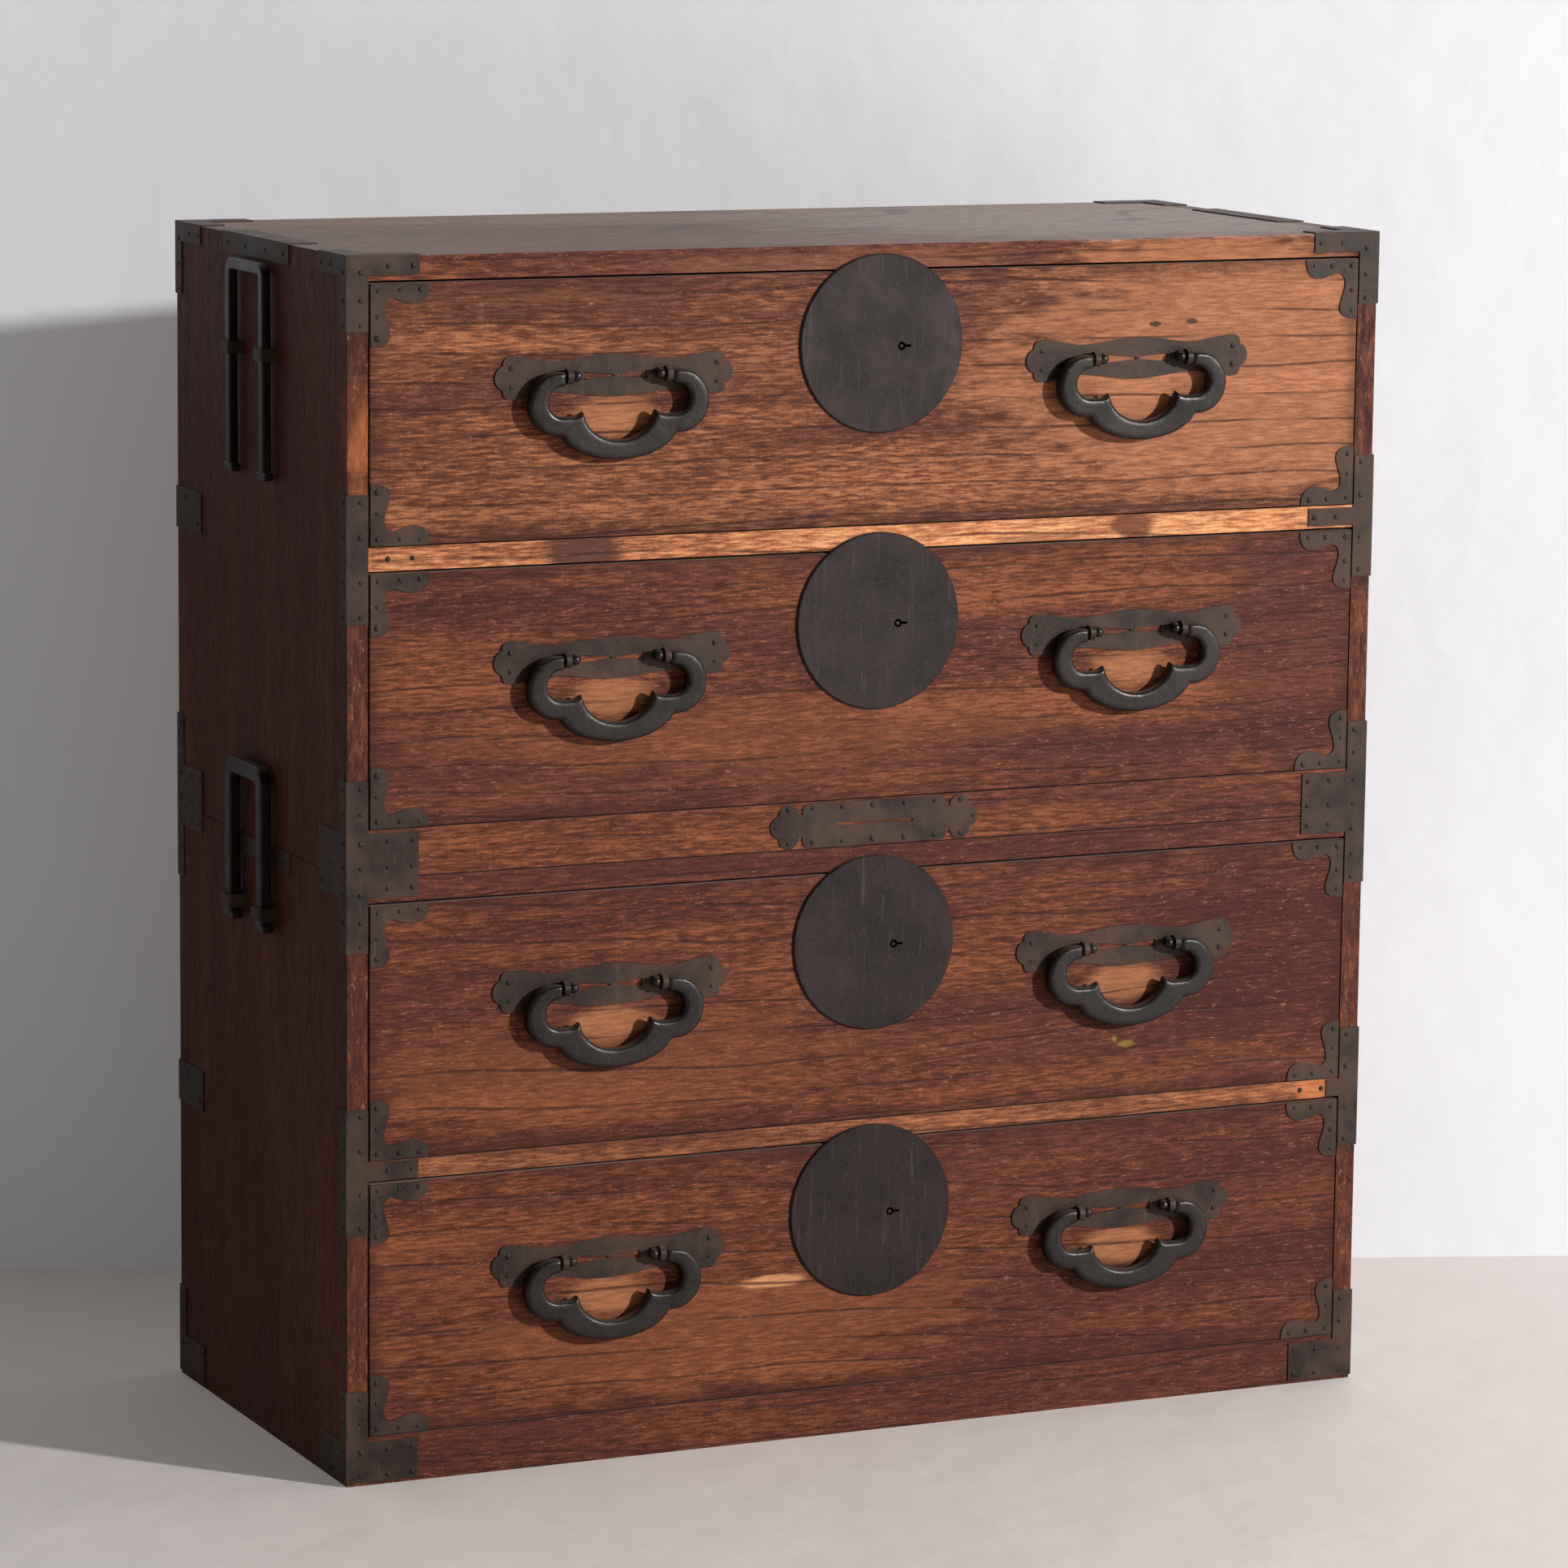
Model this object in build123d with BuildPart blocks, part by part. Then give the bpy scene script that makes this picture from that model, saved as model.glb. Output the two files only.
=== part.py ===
from build123d import *

# A clothing chest of two stacked sections, each with two full-width drawers, in millimetres.
# X runs to the right, the front faces -Y, +Z is up. The origin is the middle of the chest's
# footprint, on the floor. Drawers are numbered from the top. In what follows, "reach" is a
# distance inwards from an edge or outwards from a face, and "rise" and "drop" are heights.

import math
import os

os.makedirs("parts", exist_ok=True)

# ------------------------------------------------------------------ driving dimensions: cases
case_width = 933.0
case_depth = 403.0
side_board = 17.5
top_board = 19.5
bottom_board = 16.0
back_board = 8.0
base_rail_depth = 22.0
divider_rail_depth = 48.0
runner_width = 42.0
dust_board = 8.0

upper_base_rail = 38.5
upper_divider = 19.0
lower_base_rail = 40.0
lower_divider = 16.0
opening_1 = 212.0  # heights of the drawer openings
opening_2 = 208.5
opening_3 = 212.0
opening_4 = 212.2

# ------------------------------------------------------------------ driving dimensions: drawers
drawer_front = 20.0
front_edge = 1.0  # rounding of the front's edges
drawer_wall = 11.0
drawer_bottom = 7.0
bottom_rise = 3.0  # underside of the bottom above the foot of the walls
wall_drop = 6.0  # the walls stop this far below the top of the front
drawer_proud = 0.5  # the fronts stand this far ahead of the case
drawer_length = 380.0
gap_under = 0.6
gap_over = 2.0
gap_side = 1.2
slide_gap = 0.3  # between the foot of the walls and what they slide on

# ------------------------------------------------------------------ driving dimensions: case irons
iron = 1.2  # thickness of all sheet iron on the cases and corners
stile_cover = 17.5  # how far an iron covers the front face beside the edge
side_cover = 14.0  # how far it covers the side face
top_cover = 21.0  # how far the folds over the top cover it
iron_arm = 61.0  # reach of the horizontal arms from the edge
broken_arm = 30.0  # reach of the arm that has broken off
top_arm = 15.5  # height of the arms on a top rail
base_arm = 36.0  # height of the arms on a base rail
middle_arm = 15.0  # height of the arms on a divider
top_leg = 60.0  # reach of a corner iron down from the top
base_leg = 79.0  # reach of a corner iron up from the foot
middle_leg = 52.0  # reach of a middle iron up and down from its middle
strap_height = 35.0
foot_reveal = 3.0  # bare wood below the lowest irons
pole_rest_length = 156.0
pole_rest_drop = 16.0
pole_rest_width = 24.0

# ------------------------------------------------------------------ driving dimensions: base rail plate
long_plate_body = 132.0
long_plate_height = 37.0
long_plate_corner = 6.0
long_plate_neck = 14.0
long_lobe_radius = 9.0
long_lobe_reach = 12.5  # of the upper and lower lobes beyond the body
long_tip_radius = 9.5
long_tip_reach = 19.5
long_slot = 70.0
long_slot_height = 3.0

# ------------------------------------------------------------------ driving dimensions: drawer corner irons
corner_reach = 50.0
corner_lobe = 15.5
corner_lobe_at = 34.0
corner_waist = 12.0
corner_waist_at = 22.0
corner_throat = 13.8
corner_inset = 0.6

# ------------------------------------------------------------------ driving dimensions: locks
disc_radius = 73.7
disc_thickness = 2.6
disc_bevel = 1.2
disc_rise = 44.5  # disc's middle above the middle of the opening
keyhole_right = 18.0
keyhole_drop = 2.5
keyhole_radius = 3.6
keyhole_slot = 2.4
keyhole_reach = 8.4
keyhole_relief = 1.0  # the hole in the wood is this much larger
key_pin_radius = 1.4
key_pin_sink = 0.4  # below the face of the disc
lock_width = 90.0
lock_height = 80.0
lock_thickness = 16.0
lock_drop = 3.0  # below the top of the drawer front
bolt_width = 24.0
bolt_thickness = 8.0
bolt_height = 34.0
bolt_throw = 11.0
bolt_gap = 0.3
mortise_gap = 2.0

# ------------------------------------------------------------------ driving dimensions: handle plates
handle_pitch = 475.0  # between the middles of a drawer's two handles
handle_rise = 26.5  # pin axis above the middle of the opening
plate_drop = 0.8  # plate's middle below the pin axis
plate_thickness = 1.6
plate_height = 34.4
plate_waist = 25.2
plate_waist_at = 55.0
plate_peak = 34.4
plate_peak_at = 91.0
peak_radius = 6.0
tip_radius = 10.5
tip_at = 93.5
slot_length = 56.0
slot_height = 6.6
slot_waist = 1.6

# ------------------------------------------------------------------ driving dimensions: posts and bails
post_pitch = 87.0
eye_radius = 6.4
eye_thickness = 5.0
shank_radius = 2.2
shank_gap = 0.1
tail_length = 14.0
tail_width = 6.0
tail_thickness = 2.0
pivot_reach = 9.0  # pin axis ahead of the drawer front
pin_radius = 3.0
pin_gap = 0.08
pin_bury = 3.0  # how far the pin runs into the bail
knob_radius = 5.0
knob_half = 4.4  # from the knob's middle to its flattened ends
knob_gap = 0.3
bail_thickness = 11.0
bail_round = 3.6
bail_end_gap = 0.5
lobe_radius = 26.0
lobe_at = 53.0
lobe_drop = 22.0
lobe_hollow = 12.0
hollow_at = 49.5
hollow_drop = 20.0
belly_half = 51.0
belly_depth = 26.5
belly_drop = 42.0
belly_hollow_half = 31.0
belly_hollow_depth = 25.0
cusp_drop = 27.0
cusp_shoulder = 42.0
cusp_sag = 1.6

# ------------------------------------------------------------------ driving dimensions: pole bails
pole_middle = 208.0  # middle of the pole bails behind the case front
pole_standoff = 3.5
pole_corner = 14.0
pole_inner_corner = 4.0
pole_foot = 5.0  # how far each foot spreads beyond its leg
pole_foot_height = 7.0
pole_foot_round = 2.5
pole_edge = 1.6
upper_pole_spread = 79.0
upper_pole_bar = 10.0
upper_pole_thickness = 8.0
upper_pole_length = 177.0
upper_pole_drop = 17.5  # crossbar below the top board's face
upper_staple_drop = 97.0
lower_pole_spread = 74.0
lower_pole_bar = 13.0
lower_pole_thickness = 10.0
lower_pole_length = 137.0
lower_pole_drop = -67.0  # raised, so above the lower section's top
lower_staple_drop = 60.0
staple_face = 2.6
staple_flank = 4.6
staple_height = 10.5
staple_gap = 0.3
staple_prong = 13.0
staple_round = 2.0

# ------------------------------------------------------------------ places worked out from the sizes
lower_height = lower_base_rail + opening_4 + lower_divider + opening_3 + top_board
upper_height = upper_base_rail + opening_2 + upper_divider + opening_1 + top_board
upper_foot = lower_height + iron  # it stands on the folds over the lower section's top

front_reach = drawer_proud + pivot_reach + max(eye_radius, bail_thickness / 2)
front_y = (front_reach - case_depth - iron) / 2
back_y = front_y + case_depth
face_y = front_y - drawer_proud
pivot_y = face_y - pivot_reach
wall_y = face_y + drawer_front  # back of the drawer fronts
bolt_y = wall_y + (lock_thickness - bolt_thickness) / 2
side_x = case_width / 2
inner_x = side_x - side_board
inner_back_y = back_y - back_board
rail_back_y = front_y + divider_rail_depth
drawer_x = inner_x - gap_side
pole_y = front_y + pole_middle
knob_at = post_pitch / 2 - eye_thickness / 2 - knob_gap - math.sqrt(knob_radius**2 - pin_radius**2)
bail_end = post_pitch / 2 + eye_thickness / 2 + bail_end_gap

lower_openings = (lower_base_rail, lower_base_rail + opening_4 + lower_divider)
upper_openings = (upper_foot + upper_base_rail, upper_foot + upper_base_rail + opening_2 + upper_divider)
drawer_floors = (upper_openings[1], upper_openings[0], lower_openings[1], lower_openings[0])
drawer_openings = (opening_1, opening_2, opening_3, opening_4)

lowest = Align.MIN


def slab(low, high, mode=Mode.ADD):
    """A board or block between two opposite corners."""
    with Locations(low):
        Box(*(high[axis] - low[axis] for axis in range(3)), align=(lowest, lowest, lowest), mode=mode)


def facing_front(x, y, z):
    """A plane facing the front, its own X to the right and its own Y up."""
    return Plane(origin=(x, y, z), x_dir=(1, 0, 0), z_dir=(0, -1, 0))


def facing_left(x, y, z):
    """A plane facing the left side, its own X towards the front and its own Y up."""
    return Plane(origin=(x, y, z), x_dir=(0, -1, 0), z_dir=(-1, 0, 0))


def save(node, name):
    """Label a finished piece and write it to its own STEP file."""
    node.part.label = name
    export_step(node.part, f"parts/{name}.step")


def save_joined(name, *nodes):
    """Write pieces that touch, but stay separate solids, to one STEP file."""
    whole = Compound(label=name, children=[node.part for node in nodes])
    export_step(whole, f"parts/{name}.step")


# ------------------------------------------------------------------ case boards
def mortise(underside):
    """Sink the pocket that a raised bolt enters, into the underside of a rail."""
    half = bolt_width / 2 + mortise_gap
    depth = bolt_throw - lock_drop - gap_over + mortise_gap
    slab(
        (-half, bolt_y - mortise_gap, underside),
        (half, bolt_y + bolt_thickness + mortise_gap, underside + depth),
        mode=Mode.SUBTRACT,
    )


def prongs(spread, bar, foot, mode):
    """The prongs of the left side's two staples, which run into the side board."""
    for leg in (-1, 1):
        for edge in (-1, 1):
            inner = pole_y + leg * spread / 2 + edge * (bar / 2 + staple_gap)
            near, far = sorted((inner, inner + edge * staple_flank))
            slab((-side_x, near, foot), (-side_x + staple_prong, far, foot + staple_height), mode=mode)


def make_sides(foot, head, spread, bar, staple_foot):
    """The two side boards, with pockets for the staple prongs."""
    with BuildPart() as sides:
        slab((-side_x, front_y, foot), (-inner_x, back_y, head))
        prongs(spread, bar, staple_foot, Mode.SUBTRACT)
        mirror(about=Plane.YZ)
    return sides


def make_top(head):
    """The top board, between the side boards."""
    with BuildPart() as top:
        slab((-inner_x, front_y, head - top_board), (inner_x, inner_back_y, head))
        mortise(head - top_board)
    return top


def make_base(foot, floor):
    """The base rail under the lowest drawer, and the bottom board behind it."""
    with BuildPart() as rail:
        slab((-inner_x, front_y, foot), (inner_x, front_y + base_rail_depth, floor))
    with BuildPart() as bottom:
        slab((-inner_x, front_y + base_rail_depth, floor - bottom_board), (inner_x, inner_back_y, floor))
    return rail, bottom


def make_back(foot, head):
    """The back panel, between the side boards."""
    with BuildPart() as back:
        slab((-inner_x, inner_back_y, foot), (inner_x, back_y, head))
    return back


def make_divider(foot, head):
    """The divider: a front rail, a runner along each side, and a thin dust board between them."""
    runner_x = inner_x - runner_width
    with BuildPart() as rail:
        slab((-inner_x, front_y, foot), (inner_x, rail_back_y, head))
        mortise(foot)
    with BuildPart() as runners:
        slab((-inner_x, rail_back_y, foot), (-runner_x, inner_back_y, head))
        mirror(about=Plane.YZ)
    with BuildPart() as dust:
        slab((-runner_x, rail_back_y, foot), (runner_x, inner_back_y, foot + dust_board))
    return rail, runners, dust


# ------------------------------------------------------------------ case irons
def folded(side, reach, near, far, low, high):
    """A block over an upright edge. Once the case is cut away, a folded sheet is left of it."""
    left, right = sorted((side * (side_x + iron), side * (side_x - reach)))
    slab((left, near, low), (right, far, high))


def corner_iron(side, edge_y, inwards, leg, arm):
    """A corner iron on one upright edge, with a leg along it and an arm on each of its faces.

    inwards is 1 at the front edge and -1 at the back edge. leg and arm are (low, high) heights.
    """
    outer = edge_y - inwards * iron
    leg_near, leg_far = sorted((outer, edge_y + inwards * side_cover))
    arm_near, arm_far = sorted((outer, edge_y + inwards * top_cover))
    side_near, side_far = sorted((outer, edge_y + inwards * iron_arm))
    folded(side, stile_cover, leg_near, leg_far, *leg)
    folded(side, iron_arm, arm_near, arm_far, *arm)
    folded(side, top_cover, side_near, side_far, *arm)


def bow_tie(length, height):
    """Cut a slot that narrows towards its middle out of the plate being drawn."""
    right = ((0, slot_waist / 2), (length / 2, height / 2), (length / 2, -height / 2))
    left = ((-x, -y) for x, y in right)
    Polygon(*right, *left, align=None, mode=Mode.SUBTRACT)


def make_rail_plate(middle):
    """The long plate on the upper base rail: a rounded body with a three-lobed end on each side."""
    lobe_rise = long_plate_height / 2 - long_lobe_radius
    with BuildPart() as plate:
        with BuildSketch(facing_front(0, front_y, middle)):
            RectangleRounded(long_plate_body, long_plate_height, long_plate_corner)
            for end in (-1, 1):
                edge = end * long_plate_body / 2
                lobe_x = edge + end * long_lobe_reach
                with Locations((edge, 0)):
                    Rectangle(2 * long_plate_neck, 2 * lobe_rise)
                with Locations((lobe_x, -lobe_rise), (lobe_x, lobe_rise)):
                    Circle(long_lobe_radius)
                with Locations((edge + end * long_tip_reach, 0)):
                    Circle(long_tip_radius)
            bow_tie(long_slot, long_slot_height)
        extrude(amount=iron)
    return plate


def make_case_irons(foot, head, divider_middle, reveal, arms):
    """All irons nailed to a case. arms holds the reach of the left and right arms on the divider."""
    with BuildPart() as irons:
        for side, arm in zip((-1, 1), arms):
            for edge_y, inwards in ((front_y, 1), (back_y, -1)):
                corner_iron(side, edge_y, inwards, (head - top_leg, head + iron), (head - top_arm, head + iron))
                corner_iron(
                    side, edge_y, inwards, (foot + reveal, foot + base_leg), (foot + reveal, foot + base_arm)
                )
            low, high = divider_middle - middle_leg, divider_middle + middle_leg
            folded(side, stile_cover, front_y - iron, front_y + side_cover, low, high)
            low, high = divider_middle - middle_arm / 2, divider_middle + middle_arm / 2
            folded(side, arm, front_y - iron, front_y + side_cover, low, high)
            low, high = divider_middle - strap_height / 2, divider_middle + strap_height / 2
            folded(side, side_cover, back_y - iron_arm, back_y + iron, low, high)
            near, far = pole_y - pole_rest_length / 2, pole_y + pole_rest_length / 2
            folded(side, pole_rest_width, near, far, head - pole_rest_drop, head + iron)
        slab((-side_x, front_y, foot), (side_x, back_y, head), mode=Mode.SUBTRACT)
    return irons


# ------------------------------------------------------------------ pole bails and their staples
def make_staples(spread, bar, thickness, foot):
    """The four staples of a section, two to a pole bail, driven into the side boards."""
    reach = pole_standoff + thickness + staple_gap
    inside = bar / 2 + staple_gap
    with BuildPart() as staples:
        for leg in (-1, 1):
            middle = pole_y + leg * spread / 2
            slab(
                (-side_x - reach - staple_face, middle - inside - staple_flank, foot),
                (-side_x, middle + inside + staple_flank, foot + staple_height),
            )
        fillet(staples.edges().filter_by(Axis.Z).group_by(Axis.X)[0], radius=staple_round)
        for leg in (-1, 1):
            middle = pole_y + leg * spread / 2
            slab(
                (-side_x - reach, middle - inside, foot),
                (-side_x, middle + inside, foot + staple_height),
                mode=Mode.SUBTRACT,
            )
        prongs(spread, bar, foot, Mode.ADD)
        mirror(about=Plane.YZ)
    return staples


def make_pole_bail(spread, bar, thickness, length, head):
    """The left pole bail: two legs with spread feet, joined by a crossbar at the top."""
    with BuildPart() as bail:
        with BuildSketch(facing_left(-side_x - pole_standoff, pole_y, head - length)) as outline:
            Rectangle(spread + bar, length, align=(Align.CENTER, lowest))
            fillet(outline.vertices().group_by(Axis.Y)[-1], radius=pole_corner)
            with BuildSketch(mode=Mode.SUBTRACT) as hollow:
                Rectangle(spread - bar, length - bar, align=(Align.CENTER, lowest))
                fillet(hollow.vertices().group_by(Axis.Y)[-1], radius=pole_inner_corner)
            with Locations((-spread / 2, pole_foot_height / 2), (spread / 2, pole_foot_height / 2)):
                RectangleRounded(bar + 2 * pole_foot, pole_foot_height, pole_foot_round)
        extrude(amount=thickness)
        faces = bail.faces().filter_by(Axis.X)
        fillet(faces.edges(), radius=pole_edge)
    return bail


def make_section(name, foot, floors, openings, pole, reveal, arms, more_irons=()):
    """Everything that stays with one section's case.

    pole holds the spread, bar, thickness, length, crossbar drop and staple drop of its pole bails.
    more_irons are plates that only this section has.
    """
    head = floors[1] + openings[1] + top_board
    divider_foot = floors[0] + openings[0]
    spread, bar, thickness, length, bail_drop, staple_drop = pole
    staple_foot = head - staple_drop
    rail, bottom = make_base(foot, floors[0])
    pole_bail = make_pole_bail(spread, bar, thickness, length, head - bail_drop)
    with BuildPart() as other_bail:
        mirror(pole_bail.part, about=Plane.YZ)

    save(make_sides(foot, head, spread, bar, staple_foot), f"{name}_sides")
    save(make_top(head), f"{name}_top")
    save(rail, f"{name}_base_rail")
    save(bottom, f"{name}_bottom")
    save(make_back(foot, head), f"{name}_back")
    save_joined(f"{name}_divider", *make_divider(divider_foot, floors[1]))
    irons = make_case_irons(foot, head, (divider_foot + floors[1]) / 2, reveal, arms)
    save_joined(f"{name}_irons", irons, *more_irons)
    save(make_staples(spread, bar, thickness, staple_foot), f"{name}_staples")
    save(pole_bail, f"{name}_pole_bail_left")
    save(other_bail, f"{name}_pole_bail_right")


# ------------------------------------------------------------------ locks
def keyhole(x, z, grow):
    """Cut a keyhole, a round with a slot to its right, out of the face being drawn."""
    with Locations((x, z)):
        Circle(keyhole_radius + grow, mode=Mode.SUBTRACT)
        Rectangle(
            keyhole_reach + grow,
            keyhole_slot + 2 * grow,
            align=(lowest, Align.CENTER),
            mode=Mode.SUBTRACT,
        )


def make_lock_disc(middle):
    """The round face plate of a lock. middle is the height of the drawer opening's middle."""
    with BuildPart() as disc:
        with BuildSketch(facing_front(0, face_y, middle + disc_rise)):
            Circle(disc_radius)
            keyhole(keyhole_right, -keyhole_drop, 0)
        extrude(amount=disc_thickness)
        rim = disc.edges().filter_by(GeomType.CIRCLE).group_by(Axis.Y)[0].sort_by(SortBy.RADIUS)[-1]
        chamfer(rim, length=disc_bevel)
    return disc


def make_lock_case(middle, head):
    """The lock behind a drawer front, open at the top for its bolt, with the pin that a key turns on.

    head is the height of the drawer front's top.
    """
    lock_head = head - lock_drop
    half = bolt_width / 2 + bolt_gap
    key_z = middle + disc_rise - keyhole_drop
    pin_length = drawer_front + disc_thickness - key_pin_sink
    with BuildPart() as case:
        slab(
            (-lock_width / 2, wall_y, lock_head - lock_height),
            (lock_width / 2, wall_y + lock_thickness, lock_head),
        )
        slab(
            (-half, bolt_y - bolt_gap, lock_head - bolt_height - bolt_gap),
            (half, bolt_y + bolt_thickness + bolt_gap, lock_head),
            mode=Mode.SUBTRACT,
        )
        with BuildSketch(facing_front(keyhole_right, wall_y, key_z)):
            Circle(key_pin_radius)
        extrude(amount=pin_length)
    return case


def make_bolt(head):
    """The bolt, down in the lock."""
    bolt_head = head - lock_drop
    with BuildPart() as bolt:
        slab(
            (-bolt_width / 2, bolt_y, bolt_head - bolt_height),
            (bolt_width / 2, bolt_y + bolt_thickness, bolt_head),
        )
    return bolt


# ------------------------------------------------------------------ handles
def make_plate(x, z):
    """A handle plate: waisted, with a bow-tie slot, and three lobes at each end."""
    with BuildPart() as plate:
        with BuildSketch(facing_front(x, face_y, z - plate_drop)):
            with BuildLine():
                Spline(
                    (0, plate_height / 2),
                    (plate_waist_at, plate_waist / 2),
                    (plate_peak_at, plate_peak / 2),
                    tangents=((1, 0), (1, 0)),
                )
                Line((plate_peak_at, plate_peak / 2), (plate_peak_at, 0))
                mirror(about=Plane.XZ)
                mirror(about=Plane.YZ)
            make_face()
            for end in (-1, 1):
                peak_rise = plate_peak / 2 - peak_radius
                with Locations((end * plate_peak_at, -peak_rise), (end * plate_peak_at, peak_rise)):
                    Circle(peak_radius)
                with Locations((end * tip_at, 0)):
                    Circle(tip_radius)
            bow_tie(slot_length, slot_height)
            with Locations((-post_pitch / 2, plate_drop), (post_pitch / 2, plate_drop)):
                Circle(shank_radius + shank_gap, mode=Mode.SUBTRACT)
        extrude(amount=plate_thickness)
    return plate


def make_post(x, z):
    """An eye post: a ring for the bail's pin, a shank through the drawer front and a bent tail."""
    shank_near = pivot_y + (eye_radius + pin_radius) / 2
    shank_length = wall_y + tail_thickness - shank_near
    with BuildPart() as post:
        with BuildSketch(facing_left(x + eye_thickness / 2, pivot_y, z)):
            Circle(eye_radius)
        extrude(amount=eye_thickness)
        with BuildSketch(facing_front(x, wall_y + tail_thickness, z)):
            Circle(shank_radius)
        extrude(amount=shank_length)
        with BuildSketch(facing_left(x + eye_thickness / 2, pivot_y, z)):
            Circle(pin_radius + pin_gap)
        extrude(amount=eye_thickness, mode=Mode.SUBTRACT)
        slab(
            (x - tail_width / 2, wall_y, z),
            (x + tail_width / 2, wall_y + tail_thickness, z + tail_length),
        )
    return post


def make_bail(x, z):
    """A bail hanging from its two posts: a belly between two lobes, open at the top."""
    hollow_foot = -hollow_drop - lobe_hollow
    with BuildPart() as bail:
        with BuildSketch(facing_front(x, pivot_y + bail_thickness / 2, z)):
            with Locations((0, -belly_drop)):
                Ellipse(belly_half, belly_depth)
            with Locations((-lobe_at, -lobe_drop), (lobe_at, -lobe_drop)):
                Circle(lobe_radius)
            with Locations((-hollow_at, -hollow_drop), (hollow_at, -hollow_drop)):
                Circle(lobe_hollow, mode=Mode.SUBTRACT)
            with Locations((0, -cusp_drop)):
                Ellipse(belly_hollow_half, belly_hollow_depth, mode=Mode.SUBTRACT)
            with BuildLine():
                SagittaArc((belly_hollow_half, -cusp_drop), (cusp_shoulder, hollow_foot), -cusp_sag)
                Polyline(
                    (cusp_shoulder, hollow_foot),
                    (hollow_at, hollow_foot),
                    (hollow_at, -hollow_drop),
                    (bail_end, -hollow_drop),
                    (bail_end, lobe_radius),
                    (0, lobe_radius),
                )
                Line((0, -cusp_drop), (belly_hollow_half, -cusp_drop))
                mirror(about=Plane.YZ)
            make_face(mode=Mode.SUBTRACT)
        extrude(amount=bail_thickness)
        fillet(bail.faces().filter_by(Axis.Y).edges(), radius=bail_round)
        for end in (-1, 1):
            pin_start = bail_end + pin_bury
            with BuildSketch(Plane(origin=(x + end * pin_start, pivot_y, z), z_dir=(-end, 0, 0))):
                Circle(pin_radius)
            extrude(amount=pin_start - knob_at)
            with BuildSketch(facing_front(x + end * knob_at, pivot_y, z)):
                Circle(knob_radius)
                Rectangle(2 * knob_half, knob_radius, align=(Align.CENTER, lowest), mode=Mode.INTERSECT)
            revolve(axis=Axis((x, pivot_y, z), (1, 0, 0)))
    return bail


# ------------------------------------------------------------------ drawers
def make_corner_irons(foot, head):
    """Four lobed irons on the corners of a drawer front. foot and head are the front's heights."""
    with BuildPart() as irons:
        for side in (-1, 1):
            for up, corner_z in ((1, foot + corner_inset), (-1, head - corner_inset)):
                corner_x = side * (drawer_x - corner_inset)
                plane = Plane(origin=(corner_x, face_y, corner_z), x_dir=(-side, 0, 0), z_dir=(0, -1, 0))
                turn = 1 if plane.y_dir.Z * up > 0 else -1
                with BuildSketch(plane):
                    with BuildLine():
                        Spline(
                            (corner_reach, 0),
                            (corner_lobe_at, turn * corner_lobe),
                            (corner_waist_at, turn * corner_waist),
                            (corner_throat, turn * corner_throat),
                            tangents=((0, turn), (-1, turn)),
                        )
                        Spline(
                            (corner_throat, turn * corner_throat),
                            (corner_waist, turn * corner_waist_at),
                            (corner_lobe, turn * corner_lobe_at),
                            (0, turn * corner_reach),
                            tangents=((-1, turn), (-1, 0)),
                        )
                        Polyline((0, turn * corner_reach), (0, 0), (corner_reach, 0))
                    make_face()
                extrude(amount=iron)
    return irons


def make_drawer_front(foot, head, middle):
    """The drawer front, bored for the key and for the handle posts."""
    with BuildPart() as front:
        slab((-drawer_x, face_y, foot), (drawer_x, wall_y, head))
        fillet(front.faces().sort_by(Axis.Y)[0].edges(), radius=front_edge)
        with BuildSketch(facing_front(0, wall_y, middle)):
            Rectangle(2 * drawer_x, head - foot)
            keyhole(keyhole_right, disc_rise - keyhole_drop, keyhole_relief)
            for handle in (-1, 1):
                for post in (-1, 1):
                    with Locations((handle * handle_pitch / 2 + post * post_pitch / 2, handle_rise)):
                        Circle(shank_radius + shank_gap, mode=Mode.SUBTRACT)
        extrude(amount=drawer_front, mode=Mode.INTERSECT)
    return front


def make_drawer_box(foot, head):
    """The two side walls and the back wall, as separate boards, and the bottom panel between them."""
    wall_foot, wall_head = foot - gap_under + slide_gap, head - wall_drop
    inside_x, end_y = drawer_x - drawer_wall, face_y + drawer_length
    with BuildPart() as walls:
        slab((-drawer_x, wall_y, wall_foot), (-inside_x, end_y, wall_head))
        mirror(about=Plane.YZ)
    with BuildPart() as back:
        slab((-inside_x, end_y - drawer_wall, wall_foot), (inside_x, end_y, wall_head))
    with BuildPart() as bottom:
        low, high = wall_foot + bottom_rise, wall_foot + bottom_rise + drawer_bottom
        slab((-inside_x, wall_y, low), (inside_x, end_y - drawer_wall, high))
    return walls, back, bottom


def make_drawer(number, floor, opening):
    """One drawer with its lock, irons and handles."""
    name = f"drawer_{number}"
    foot, head = floor + gap_under, floor + opening - gap_over
    middle = floor + opening / 2
    pin_z = middle + handle_rise
    left_x, right_x = -handle_pitch / 2, handle_pitch / 2
    walls, back, bottom = make_drawer_box(foot, head)
    save(make_drawer_front(foot, head, middle), f"{name}_front")
    save_joined(f"{name}_walls", walls, back)
    save(bottom, f"{name}_bottom")
    save(make_lock_disc(middle), f"{name}_lock_disc")
    save(make_lock_case(middle, head), f"{name}_lock_case")
    save(make_bolt(head), f"{name}_lock_bolt")
    save(make_corner_irons(foot, head), f"{name}_corner_irons")
    posts = [make_post(x + end * post_pitch / 2, pin_z) for x in (left_x, right_x) for end in (-1, 1)]
    save_joined(f"{name}_handle_plates", make_plate(left_x, pin_z), make_plate(right_x, pin_z), *posts)
    save(make_bail(left_x, pin_z), f"{name}_bail_left")
    save(make_bail(right_x, pin_z), f"{name}_bail_right")


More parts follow.
